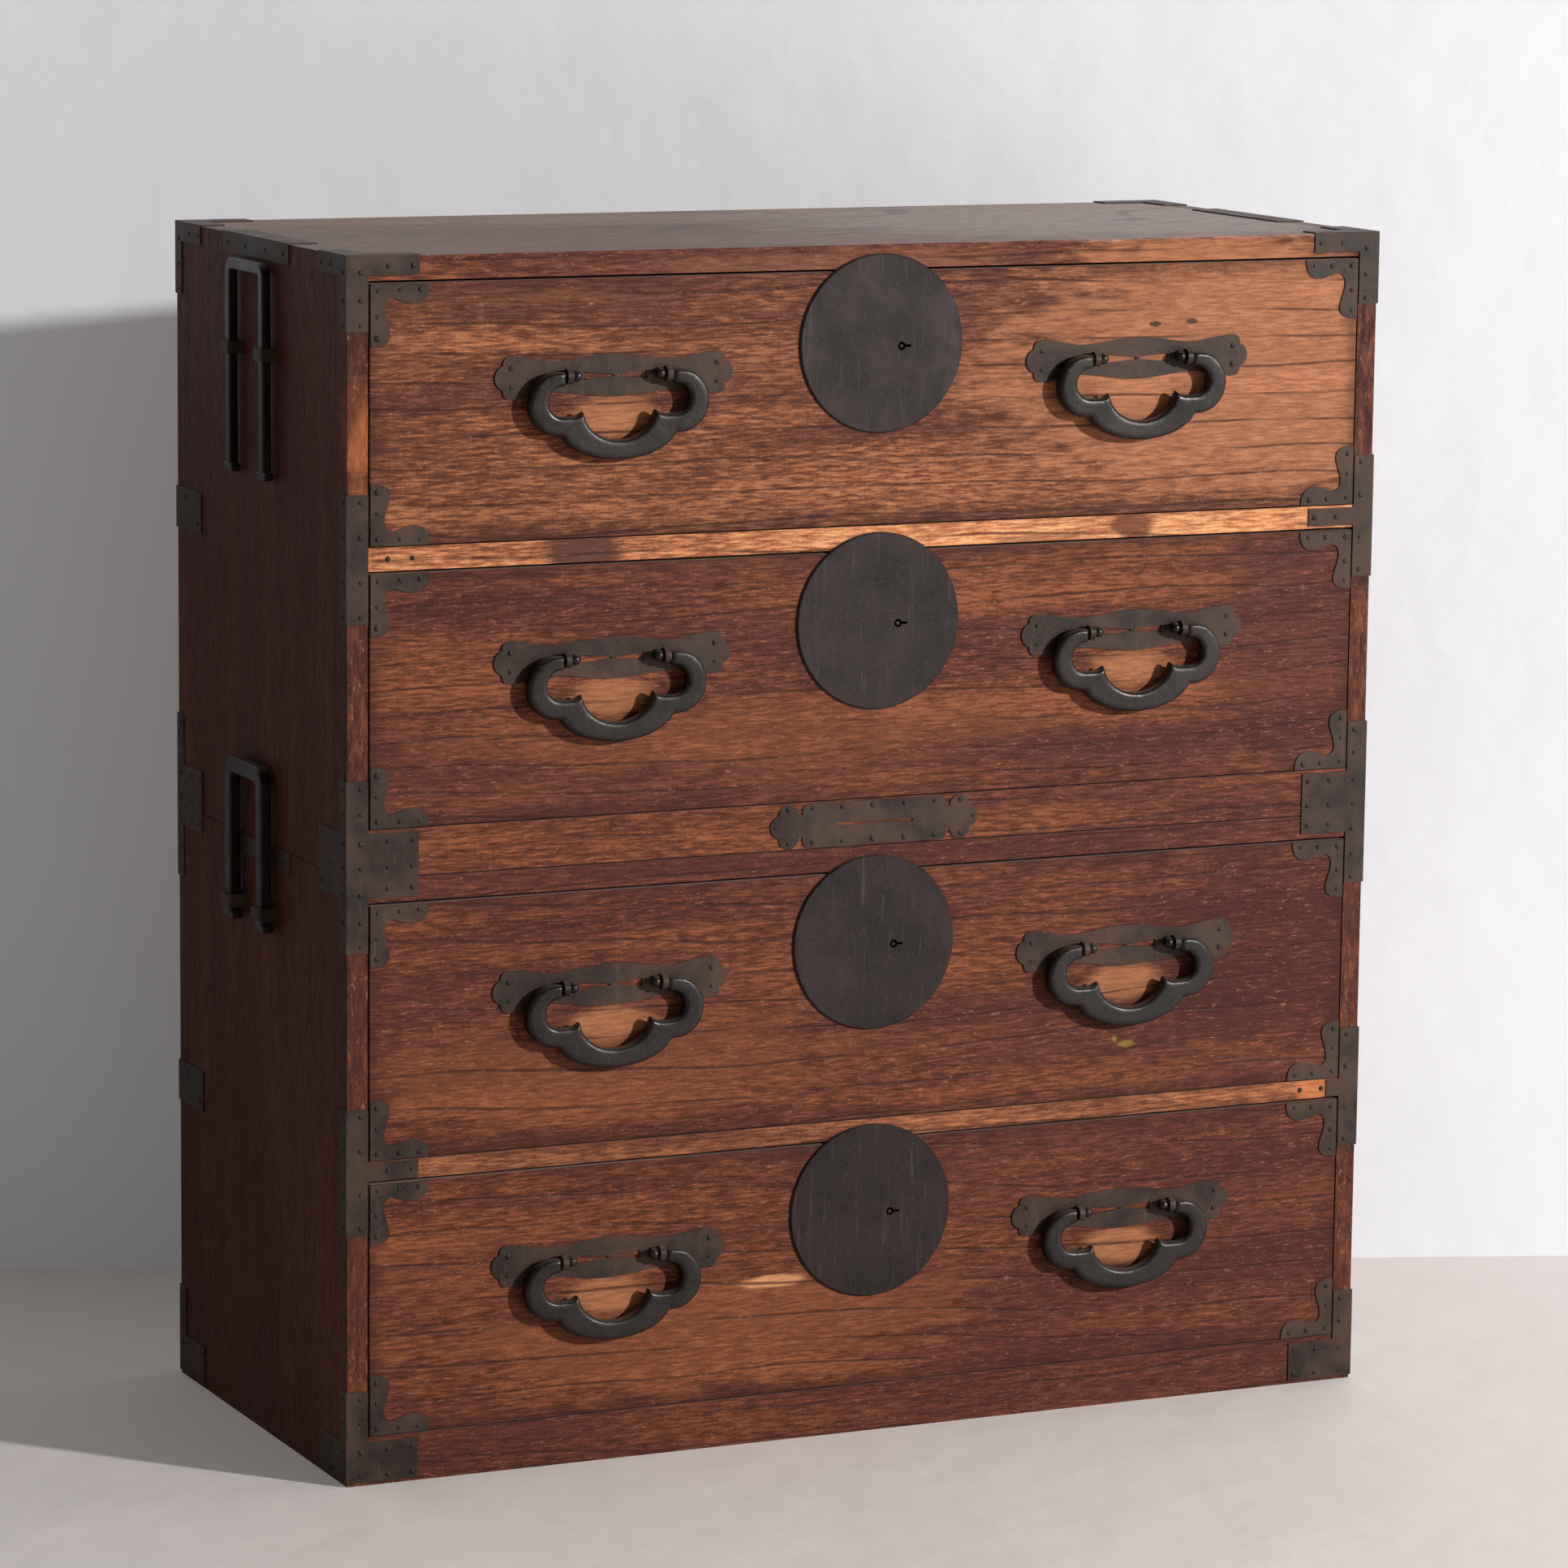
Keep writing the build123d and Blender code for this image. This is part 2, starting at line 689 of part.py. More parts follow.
# ------------------------------------------------------------------ the whole chest
make_section(
    "lower",
    foot=0,
    floors=lower_openings,
    openings=(opening_4, opening_3),
    pole=(
        lower_pole_spread,
        lower_pole_bar,
        lower_pole_thickness,
        lower_pole_length,
        lower_pole_drop,
        lower_staple_drop,
    ),
    reveal=foot_reveal,
    arms=(iron_arm, broken_arm),
)
make_section(
    "upper",
    foot=upper_foot,
    floors=upper_openings,
    openings=(opening_2, opening_1),
    pole=(
        upper_pole_spread,
        upper_pole_bar,
        upper_pole_thickness,
        upper_pole_length,
        upper_pole_drop,
        upper_staple_drop,
    ),
    reveal=0,
    arms=(stile_cover, iron_arm),
    more_irons=(make_rail_plate(upper_foot + upper_base_rail / 2),),
)
for number, (floor, opening) in enumerate(zip(drawer_floors, drawer_openings), start=1):
    make_drawer(number, floor, opening)
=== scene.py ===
"""Dresses the two-section clothing chest: stained wood, dark iron, nails, and a plain studio."""

from __future__ import annotations

import logging
import math
from dataclasses import dataclass, field
from enum import Enum

import bmesh
import bpy
from mathutils import Matrix, Vector


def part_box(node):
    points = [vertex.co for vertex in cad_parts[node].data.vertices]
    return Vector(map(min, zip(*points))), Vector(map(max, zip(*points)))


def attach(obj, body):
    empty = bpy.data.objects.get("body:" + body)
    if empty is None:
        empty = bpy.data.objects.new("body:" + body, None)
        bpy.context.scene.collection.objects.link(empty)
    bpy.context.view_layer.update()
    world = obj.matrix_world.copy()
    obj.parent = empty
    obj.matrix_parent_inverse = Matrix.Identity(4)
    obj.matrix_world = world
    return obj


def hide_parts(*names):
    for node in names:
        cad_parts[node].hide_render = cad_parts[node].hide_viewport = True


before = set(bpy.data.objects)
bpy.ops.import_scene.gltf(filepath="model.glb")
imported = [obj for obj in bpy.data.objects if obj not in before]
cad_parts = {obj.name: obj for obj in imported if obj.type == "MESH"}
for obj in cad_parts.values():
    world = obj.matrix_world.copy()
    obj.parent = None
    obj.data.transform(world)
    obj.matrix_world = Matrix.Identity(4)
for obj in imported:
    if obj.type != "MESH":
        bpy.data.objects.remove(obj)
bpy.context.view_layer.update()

log = logging.getLogger("chest")

Colour = tuple[float, float, float]
Point = tuple[float, float, float]

MM = 0.001
SKIN = 1.2 * MM
MERGE = 0.001 * MM
MIX_COLOUR_INPUTS = (0, 6, 7)
MIX_COLOUR_OUTPUT = 2


def shade(red: int, green: int, blue: int) -> Colour:
    """Turn a screen colour into the linear colour that shaders use.

    Args:
        red: Red from 0 to 255.
        green: Green from 0 to 255.
        blue: Blue from 0 to 255.

    Returns:
        The linear colour.
    """
    def channel(value: int) -> float:
        """Linear value of one channel."""
        part = value / 255
        return part / 12.92 if part <= 0.04045 else ((part + 0.055) / 1.055) ** 2.4

    return (channel(red), channel(green), channel(blue))


class Grain(Enum):
    """The way a board's grain runs."""

    ALONG_WIDTH = ("X", "Z", "Y")
    ALONG_HEIGHT = ("Z", "Y", "X")


# ---------------- node writing
class Graph:
    """Writes nodes into one node tree."""

    def __init__(self, tree: bpy.types.NodeTree) -> None:
        """Take the tree to write into."""
        self.tree = tree

    def node(self, kind: str, **settings: object) -> bpy.types.Node:
        """Add a node.

        Args:
            kind: The node's type.
            settings: Attributes set on it.

        Returns:
            The node.
        """
        made = self.tree.nodes.new(kind)
        for name, value in settings.items():
            setattr(made, name, value)
        return made

    def put(self, socket: bpy.types.NodeSocket, value: object) -> None:
        """Link a socket into an input, or set the input's value.

        Args:
            socket: The input.
            value: A socket to link, or a plain value.
        """
        if isinstance(value, bpy.types.NodeSocket):
            self.tree.links.new(value, socket)
        elif hasattr(value, "__len__") and len(value) == 3 and socket.type == "RGBA":
            socket.default_value = (*value, 1.0)
        else:
            socket.default_value = value

    def math(self, operation: str, *values: object, clamp: bool = False) -> bpy.types.NodeSocket:
        """Add a Math node.

        Args:
            operation: What it does.
            values: Its inputs, in order.
            clamp: Keep the result between 0 and 1.

        Returns:
            Its result.
        """
        made = self.node("ShaderNodeMath", operation=operation, use_clamp=clamp)
        for socket, value in zip(made.inputs, values):
            self.put(socket, value)
        return made.outputs[0]

    def vector(self, operation: str, *values: object) -> bpy.types.NodeSocket:
        """Add a Vector Math node.

        Args:
            operation: What it does.
            values: Its inputs, in order.

        Returns:
            Its vector.
        """
        made = self.node("ShaderNodeVectorMath", operation=operation)
        for socket, value in zip(made.inputs, values):
            self.put(socket, value)
        return made.outputs[0]

    def split(self, vector: bpy.types.NodeSocket) -> dict[str, bpy.types.NodeSocket]:
        """Separate a vector.

        Args:
            vector: The vector.

        Returns:
            Its X, Y and Z by name.
        """
        made = self.node("ShaderNodeSeparateXYZ")
        self.put(made.inputs[0], vector)
        return {axis: made.outputs[axis] for axis in "XYZ"}

    def join(self, *values: object) -> bpy.types.NodeSocket:
        """Combine three values into a vector.

        Args:
            values: X, Y and Z.

        Returns:
            The vector.
        """
        made = self.node("ShaderNodeCombineXYZ")
        for socket, value in zip(made.inputs, values):
            self.put(socket, value)
        return made.outputs[0]

    def smooth(
        self, value: object, low: float, high: float, to_low: float = 0.0, to_high: float = 1.0
    ) -> bpy.types.NodeSocket:
        """Map a value smoothly from one range to another.

        Args:
            value: The value.
            low: Where its range starts.
            high: Where its range ends.
            to_low: What it starts as.
            to_high: What it ends as.

        Returns:
            The mapped value.
        """
        made = self.node("ShaderNodeMapRange", interpolation_type="SMOOTHSTEP")
        names = ("Value", "From Min", "From Max", "To Min", "To Max")
        for name, item in zip(names, (value, low, high, to_low, to_high)):
            self.put(made.inputs[name], item)
        return made.outputs[0]

    def mix(self, amount: object, first: object, second: object) -> bpy.types.NodeSocket:
        """Mix two colours.

        Args:
            amount: 0 for the first colour, 1 for the second.
            first: One colour.
            second: The other colour.

        Returns:
            The mixed colour.
        """
        made = self.node("ShaderNodeMix", data_type="RGBA")
        for index, value in zip(MIX_COLOUR_INPUTS, (amount, first, second)):
            self.put(made.inputs[index], value)
        return made.outputs[MIX_COLOUR_OUTPUT]

    def ramp(self, amount: object, *stops: tuple[float, Colour]) -> bpy.types.NodeSocket:
        """Turn a value into a colour through a row of stops.

        Args:
            amount: The value.
            stops: The place and colour of each stop. The first two take over the ends of a new ramp.

        Returns:
            The colour.
        """
        made = self.node("ShaderNodeValToRGB")
        bar = made.color_ramp.elements
        for index, (place, colour) in enumerate(stops):
            stop = bar[index] if index < 2 else bar.new(place)
            stop.position = place
            stop.color = (*colour, 1.0)
        self.put(made.inputs[0], amount)
        return made.outputs[0]

    def noise(
        self, vector: object, scale: float, detail: float = 2.0, rough: float = 0.5, warp: float = 0.0
    ) -> bpy.types.NodeSocket:
        """Add a Noise Texture.

        Args:
            vector: Where it is read.
            scale: Its scale.
            detail: How many finer layers it has.
            rough: How strong the finer layers are.
            warp: How far it is distorted.

        Returns:
            Its value.
        """
        made = self.node("ShaderNodeTexNoise")
        names = ("Vector", "Scale", "Detail", "Roughness", "Distortion")
        for name, value in zip(names, (vector, scale, detail, rough, warp)):
            self.put(made.inputs[name], value)
        return made.outputs[0]

    def streaks(self, vector: object, scales: Point, *settings: float) -> bpy.types.NodeSocket:
        """Add a noise with its own scale along each axis.

        Args:
            vector: Where it is read.
            scales: Its scale along X, Y and Z.
            settings: Its detail, rough and warp, as noise takes them.

        Returns:
            Its value.
        """
        return self.noise(self.vector("MULTIPLY", vector, scales), 1.0, *settings)


def shader_group(
    name: str, inputs: dict[str, str], outputs: tuple[str, ...]
) -> tuple[Graph, bpy.types.Node, bpy.types.Node]:
    """Start a shader node group.

    Args:
        name: The group's name.
        inputs: Input names and their socket types.
        outputs: Names of its value outputs.

    Returns:
        The graph, its input node and its output node.
    """
    tree = bpy.data.node_groups.new(name, "ShaderNodeTree")
    for item, kind in inputs.items():
        tree.interface.new_socket(item, in_out="INPUT", socket_type=kind)
    for item in outputs:
        tree.interface.new_socket(item, in_out="OUTPUT", socket_type="NodeSocketFloat")
    graph = Graph(tree)
    return graph, graph.node("NodeGroupInput"), graph.node("NodeGroupOutput")


def make_grain_group() -> bpy.types.NodeTree:
    """Wood grain that runs along the first axis of its vector.

    Returns:
        The group, which puts out broad figure, growth rings, fibres, worn flecks and brush marks.
    """
    outputs = ("Figure", "Rings", "Fibres", "Flecks", "Brushed")
    rings_per_metre, ring_sway = 40.0, 7.0
    inputs = {"Vector": "NodeSocketVector", "Offset": "NodeSocketFloat"}
    graph, given, made = shader_group("wood_grain", inputs, outputs)
    offset = given.outputs["Offset"]
    moved = graph.vector("ADD", given.outputs["Vector"], graph.join(offset, offset, 0.0))
    figure = graph.streaks(moved, (2.2, 24.0, 6.0), 6.0, 0.58, 0.35)
    sway = graph.streaks(moved, (0.9, 2.4, 2.0), 3.0, 0.45)
    across = graph.math("MULTIPLY", graph.split(moved)["Y"], rings_per_metre)
    turns = graph.math("ADD", across, graph.math("MULTIPLY", sway, ring_sway))
    wave = graph.math("SINE", graph.math("MULTIPLY", turns, 2 * math.pi))
    broken = graph.streaks(moved, (6.0, 55.0, 20.0), 3.0)
    rings = graph.math("MULTIPLY", graph.smooth(wave, 0.93, 1.0), graph.smooth(broken, 0.36, 0.54))
    fibres = graph.streaks(moved, (52.0, 430.0, 220.0), 4.0, 0.75)
    flecks = graph.smooth(graph.streaks(moved, (90.0, 420.0, 260.0), 5.0, 0.9), 0.57, 0.66)
    brushed = graph.streaks(moved, (420.0, 24.0, 24.0), 4.0, 0.7)
    for name, value in zip(outputs, (figure, rings, fibres, flecks, brushed)):
        graph.put(made.inputs[name], value)
    return graph.tree


def make_patina_group() -> bpy.types.NodeTree:
    """Age on iron.

    Returns:
        The group, which puts out cloudy mottling, fine specks, scuffs and a hammered height.
    """
    outputs = ("Clouds", "Specks", "Scuffs", "Height")
    hammered, pitted, pit_share = 95.0, 600.0, 0.35
    graph, given, made = shader_group("iron_patina", {"Vector": "NodeSocketVector"}, outputs)
    place = given.outputs["Vector"]
    clouds = graph.noise(place, 22.0, 4.0, 0.6, 0.4)
    specks = graph.smooth(graph.noise(place, 420.0), 0.6, 0.7)
    scuffs = graph.smooth(graph.streaks(place, (240.0, 200.0, 16.0), 4.0, 0.7), 0.56, 0.74)
    pits = graph.math("MULTIPLY", graph.noise(place, pitted), pit_share)
    height = graph.math("ADD", graph.noise(place, hammered), pits)
    for name, value in zip(outputs, (clouds, specks, scuffs, height)):
        graph.put(made.inputs[name], value)
    return graph.tree


def make_patch_group() -> bpy.types.NodeTree:
    """A ragged patch.

    Returns:
        The group, which puts out 1 inside a rounded block and 0 outside it.
    """
    inputs = dict.fromkeys(("Vector", "Middle", "Half"), "NodeSocketVector")
    inputs["Ragged"] = "NodeSocketFloat"
    outside, inside = 1.15, 0.6
    graph, given, made = shader_group("patch", inputs, ("Mask",))
    place = given.outputs["Vector"]
    away = graph.vector("SUBTRACT", place, given.outputs["Middle"])
    reach = graph.node("ShaderNodeVectorMath", operation="LENGTH")
    graph.put(reach.inputs[0], graph.vector("DIVIDE", away, given.outputs["Half"]))
    torn = graph.math("SUBTRACT", graph.streaks(place, (24.0, 60.0, 110.0), 5.0, 0.65), 0.5)
    rough = graph.math("MULTIPLY", torn, given.outputs["Ragged"])
    edge = graph.math("ADD", reach.outputs["Value"], rough)
    graph.put(made.inputs["Mask"], graph.smooth(edge, outside, inside))
    return graph.tree


GRAIN = make_grain_group()
PATINA = make_patina_group()
PATCH = make_patch_group()


# ---------------- finishes
@dataclass(frozen=True)
class Patch:
    """A place where a finish changes: a stain, wear, a crack, or a patch of painted light."""

    middle: Point
    half: Point
    colour: Colour
    strength: float
    ragged: float


class Finish:
    """What the finishes share."""

    def start(
        self, name: str
    ) -> tuple[bpy.types.Material, Graph, bpy.types.Node, bpy.types.NodeSocket]:
        """Start a material.

        Args:
            name: The material's name.

        Returns:
            The material, its graph, its shader and its Object coordinates.
        """
        material = bpy.data.materials.new(name)
        material.use_nodes = True
        graph = Graph(material.node_tree)
        shader = material.node_tree.nodes["Principled BSDF"]
        return material, graph, shader, graph.node("ShaderNodeTexCoord").outputs["Object"]

    def upward(self, graph: Graph) -> bpy.types.NodeSocket:
        """1 on faces that look up, where dust lies."""
        normal = graph.node("ShaderNodeNewGeometry").outputs["Normal"]
        return graph.smooth(graph.split(normal)["Z"], 0.6, 0.95)

    def group(self, graph: Graph, tree: bpy.types.NodeTree, **values: object) -> bpy.types.Node:
        """Place a shader group.

        Args:
            graph: The material's graph.
            tree: The group.
            values: Its inputs by name.

        Returns:
            The group's node.
        """
        made = graph.node("ShaderNodeGroup", node_tree=tree)
        for name, value in values.items():
            graph.put(made.inputs[name], value)
        return made

    def relief(
        self, graph: Graph, shader: bpy.types.Node, height: bpy.types.NodeSocket, depth: float
    ) -> None:
        """Give the surface relief.

        Args:
            graph: The material's graph.
            shader: The material's shader.
            height: The height, from 0 to 1.
            depth: What a height of 1 is in metres.
        """
        bump = graph.node("ShaderNodeBump")
        bump.inputs["Distance"].default_value = depth
        graph.put(bump.inputs["Height"], height)
        graph.put(shader.inputs["Normal"], bump.outputs["Normal"])


@dataclass(frozen=True)
class Tones:
    """The three tones of a board."""

    dark: Colour
    middle: Colour
    light: Colour


STAINED = Tones(shade(62, 26, 16), shade(93, 47, 29), shade(142, 81, 50))
DEEP = Tones(shade(52, 22, 12), shade(82, 40, 24), shade(118, 66, 41))
WARM = Tones(shade(70, 33, 21), shade(108, 60, 38), shade(174, 110, 73))
PALE = Tones(shade(116, 64, 40), shade(190, 121, 79), shade(240, 176, 122))
WORN = Tones(shade(82, 42, 27), shade(128, 75, 49), shade(184, 118, 78))
BARE = Tones(shade(130, 95, 66), shade(162, 122, 86), shade(188, 149, 110))


@dataclass(frozen=True)
class StainedWood(Finish):
    """Old stained boards: open grain, worn stain, dirt and painted shade along the edges, dust on top,
    and, where asked, painted shade on faces that look away from the front.
    """

    name: str
    tones: Tones = STAINED
    grain: Grain = Grain.ALONG_WIDTH
    offset: float = 0.0
    stain: Colour = shade(70, 32, 25)
    stained: float = 0.55
    fleck: Colour = shade(184, 122, 90)
    dust: Colour = shade(168, 157, 150)
    dusty: float = 0.55
    patches: tuple[Patch, ...] = ()
    edges: tuple[Point, Point] | None = None
    # How far painted shade darkens faces that look away from the front, and the colour it darkens them
    # to.
    shaded: float = 0.0
    shadow: Colour = shade(58, 20, 9)
    tone_stops: Point = (0.41, 0.5, 0.6)
    figure_share: float = 0.38
    fibre_share: float = 0.56
    brush_share: float = 0.06
    cloud_scales: Point = (1.8, 13.0, 5.0)
    ring_depth: float = 0.8
    brush_depth: float = 0.15
    ring_stain: float = 0.74
    fleck_share: float = 0.6
    edge_dirt_and_shade_share: float = 0.7
    edge_dirt_and_shade_reach: float = 36 * MM
    edge_dirt_and_shade_full: float = 12 * MM
    edge_dirt_and_shade_wander: float = 35 * MM
    relief_depth: float = 0.3 * MM
    roughness: tuple[float, float] = (0.66, 0.5)
    shine: float = 0.16

    def edge_dirt_and_shade(self, graph: Graph, place: bpy.types.NodeSocket) -> bpy.types.NodeSocket:
        """Dirt and painted gap shade that gather along the edges of the board's face.

        Args:
            graph: The material's graph.
            place: Object coordinates.

        Returns:
            1 at the edges, 0 inside.
        """
        low, high = self.edges
        middle = tuple((a + b) / 2 for a, b in zip(low, high))
        half = tuple((b - a) / 2 for a, b in zip(low, high))
        away = graph.vector("ABSOLUTE", graph.vector("SUBTRACT", place, middle))
        room = graph.split(graph.vector("SUBTRACT", half, away))
        near = graph.math("MINIMUM", room["X"], room["Z"])
        uneven = graph.math("MULTIPLY", graph.noise(place, 28.0, 4.0, 0.6), self.edge_dirt_and_shade_wander)
        return graph.smooth(graph.math("ADD", near, uneven), self.edge_dirt_and_shade_reach, self.edge_dirt_and_shade_full)

    def with_patches(
        self,
        graph: Graph,
        place: bpy.types.NodeSocket,
        fibres: bpy.types.NodeSocket,
        colour: bpy.types.NodeSocket,
    ) -> bpy.types.NodeSocket:
        """Lay the patches over the wood, with its darkest fibres left showing.

        Args:
            graph: The material's graph.
            place: Object coordinates.
            fibres: The grain's fibres.
            colour: The wood's colour.

        Returns:
            The colour with its patches.
        """
        for patch in self.patches:
            values = {"Middle": patch.middle, "Half": patch.half, "Ragged": patch.ragged}
            mask = self.group(graph, PATCH, Vector=place, **values).outputs["Mask"]
            amount = graph.math("MULTIPLY", mask, patch.strength)
            left = graph.smooth(fibres, 0.4, 0.6, 0.3, 0.0)
            colour = graph.mix(amount, colour, graph.mix(left, patch.colour, self.tones.dark))
        return colour

    def make(self) -> bpy.types.Material:
        """Build the material.

        Returns:
            The material.
        """
        tones = self.tones
        material, graph, shader, place = self.start(self.name)
        axes = graph.split(place)
        along = graph.join(*(axes[axis] for axis in self.grain.value))
        grain = self.group(graph, GRAIN, Vector=along, Offset=self.offset)
        figure, fibres, brushed = (grain.outputs[name] for name in ("Figure", "Fibres", "Brushed"))
        rings = grain.outputs["Rings"]
        broad = graph.math("MULTIPLY", figure, self.figure_share)
        tone = graph.math("ADD", broad, graph.math("MULTIPLY", fibres, self.fibre_share))
        tone = graph.math("ADD", tone, graph.math("MULTIPLY", brushed, self.brush_share))
        dark, middle, light = self.tone_stops
        colour = graph.ramp(tone, (dark, tones.dark), (light, tones.light), (middle, tones.middle))
        shifted = graph.vector("ADD", along, (self.offset * 3.1, self.offset, 0.0))
        cloud = graph.streaks(shifted, self.cloud_scales, 4.0, 0.55, 0.5)
        soaked = graph.smooth(cloud, 0.44, 0.64, 0.0, self.stained)
        colour = graph.mix(soaked, colour, self.stain)
        colour = self.with_patches(graph, place, fibres, colour)
        colour = graph.mix(graph.math("MULTIPLY", rings, self.ring_stain), colour, DEEP.dark)
        flecks = graph.math("MULTIPLY", grain.outputs["Flecks"], self.fleck_share)
        colour = graph.mix(flecks, colour, self.fleck)
        # Painted shade with dirt: the face darkens towards its edges, where the gaps round it lie in
        # shade.
        if self.edges:
            edge_dirt_and_shade = graph.math("MULTIPLY", self.edge_dirt_and_shade(graph, place), self.edge_dirt_and_shade_share)
            colour = graph.mix(edge_dirt_and_shade, colour, DEEP.dark)
        # Painted shade: faces that look away from the front are darkened toward the shadow colour, as
        # the sides lie out of the lamp.
        if self.shaded:
            facing = graph.split(graph.node("ShaderNodeNewGeometry").outputs["Normal"])["Y"]
            away_face_shade = graph.smooth(facing, -0.9, -0.6, 0.0, self.shaded)
            colour = graph.mix(away_face_shade, colour, self.shadow)
        settled = graph.smooth(cloud, 0.25, 0.7, self.dusty, self.dusty * 0.6)
        dust = graph.math("MULTIPLY", self.upward(graph), settled)
        graph.put(shader.inputs["Base Color"], graph.mix(dust, colour, self.dust))
        graph.put(shader.inputs["Roughness"], graph.smooth(fibres, 0.35, 0.65, *self.roughness))
        shader.inputs["Specular IOR Level"].default_value = self.shine
        height = graph.math("ADD", fibres, graph.math("MULTIPLY", brushed, self.brush_depth))
        cut = graph.math("MULTIPLY", rings, self.ring_depth)
        self.relief(graph, shader, graph.math("SUBTRACT", height, cut), self.relief_depth)
        return material


@dataclass(frozen=True)
class AgedIron(Finish):
    """Dark iron with a matte grey-brown patina."""

    name: str
    dark: Colour = shade(32, 24, 20)
    light: Colour = shade(70, 52, 42)
    rust: Colour = shade(82, 51, 38)
    scuffed: float = 0.12
    metal: float = 0.1
    smoothness: float = 0.0
    shine: float = 0.25
    relief_depth: float = 0.3 * MM
    scuff: Colour = shade(118, 110, 106)
    dust: Colour = shade(120, 110, 104)
    dusty: float = 0.3
    rusted: float = 0.5
    polished: float = 0.46
    matte: float = 0.6

    def make(self) -> bpy.types.Material:
        """Build the material.

        Returns:
            The material.
        """
        material, graph, shader, place = self.start(self.name)
        patina = self.group(graph, PATINA, Vector=place)
        clouds = patina.outputs["Clouds"]
        colour = graph.mix(graph.smooth(clouds, 0.3, 0.7), self.dark, self.light)
        for mask, amount, laid in (
            (patina.outputs["Specks"], self.rusted, self.rust),
            (patina.outputs["Scuffs"], self.scuffed, self.scuff),
            (self.upward(graph), self.dusty, self.dust),
        ):
            colour = graph.mix(graph.math("MULTIPLY", mask, amount), colour, laid)
        graph.put(shader.inputs["Base Color"], colour)
        low, high = self.polished - self.smoothness, self.matte - self.smoothness
        graph.put(shader.inputs["Roughness"], graph.smooth(clouds, 0.3, 0.7, low, high))
        shader.inputs["Metallic"].default_value = self.metal
        shader.inputs["Specular IOR Level"].default_value = self.shine
        self.relief(graph, shader, patina.outputs["Height"], self.relief_depth)
        return material


@dataclass(frozen=True)
class StagePaint(Finish):
    """A pale matte paint that gives a little light of its own where it is seen."""

    name: str
    colour: Colour
    one_sided: bool = False
    glow: float = 0.07
    darker: float = 0.93
    roughness: float = 0.6
    relief_depth: float = 3 * MM

    def make(self) -> bpy.types.Material:
        """Build the material.

        Returns:
            The material, clear from behind if it is one-sided.
        """
        material, graph, shader, place = self.start(self.name)
        uneven = graph.smooth(graph.noise(place, 1.4, 4.0), 0.3, 0.7)
        low = tuple(self.darker * part for part in self.colour)
        graph.put(shader.inputs["Base Color"], graph.mix(uneven, low, self.colour))
        shader.inputs["Roughness"].default_value = self.roughness
        self.relief(graph, shader, graph.noise(place, 11.0, 6.0, 0.45), self.relief_depth)
        seen = graph.node("ShaderNodeLightPath").outputs["Is Camera Ray"]
        graph.put(shader.inputs["Emission Color"], graph.mix(seen, (0.0, 0.0, 0.0), self.colour))
        shader.inputs["Emission Strength"].default_value = self.glow
        if self.one_sided:
            clear = graph.node("ShaderNodeBsdfTransparent")
            choose = graph.node("ShaderNodeMixShader")
            behind = graph.node("ShaderNodeNewGeometry").outputs["Backfacing"]
            for socket, value in zip(choose.inputs, (behind, shader.outputs[0], clear.outputs[0])):
                graph.put(socket, value)
            surface = material.node_tree.nodes["Material Output"].inputs["Surface"]
            graph.put(surface, choose.outputs[0])
        return material


# ---------------- shared making
def dress(node: str, material: bpy.types.Material) -> None:
    """Give a CAD node its material.

    Args:
        node: The node.
        material: Its finish.
    """
    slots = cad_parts[node].data.materials
    slots.clear()
    slots.append(material)


def place_mesh(name: str, mesh: bpy.types.Mesh) -> bpy.types.Object:
    """Put a mesh in the scene.

    Args:
        name: The piece's name.
        mesh: Its mesh, in its place.

    Returns:
        The piece.
    """
    piece = bpy.data.objects.new(name, mesh)
    bpy.context.scene.collection.objects.link(piece)
    return piece


def baked_mesh(piece: bpy.types.Object) -> bpy.types.Mesh:
    """Turn what a piece's modifiers make into a plain mesh, and drop the piece.

    Args:
        piece: The piece.

    Returns:
        The mesh.
    """
    made = piece.evaluated_get(bpy.context.evaluated_depsgraph_get())
    mesh = bpy.data.meshes.new_from_object(made)
    bpy.data.objects.remove(piece)
    return mesh


def stand_for(piece: bpy.types.Object, node: str) -> None:
    """Let an iron piece take a CAD node's place and move with it.

    Args:
        piece: The piece.
        node: The node.
    """
    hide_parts(node)
    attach(piece, node)


def smooth_copy(
    node: str, name: str, material: bpy.types.Material, sharp: float = math.radians(38)
) -> bpy.types.Object:
    """Copy a CAD node as one closed, smoothly shaded mesh that stands for it.

    Args:
        node: The CAD node.
        name: The piece's name.
        material: Its finish.
        sharp: Edges that turn more than this stay crisp.

    Returns:
        The piece.
    """
    mesh = bpy.data.meshes.new(name)
    work = bmesh.new()
    work.from_mesh(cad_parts[node].data)
    bmesh.ops.remove_doubles(work, verts=work.verts, dist=MERGE)
    for face in work.faces:
        face.smooth = True
        face.material_index = 0
    for edge in work.edges:
        edge.smooth = len(edge.link_faces) == 2 and edge.calc_face_angle(0.0) < sharp
    work.to_mesh(mesh)
    work.free()
    mesh.materials.append(material)
    return place_mesh(name, mesh)


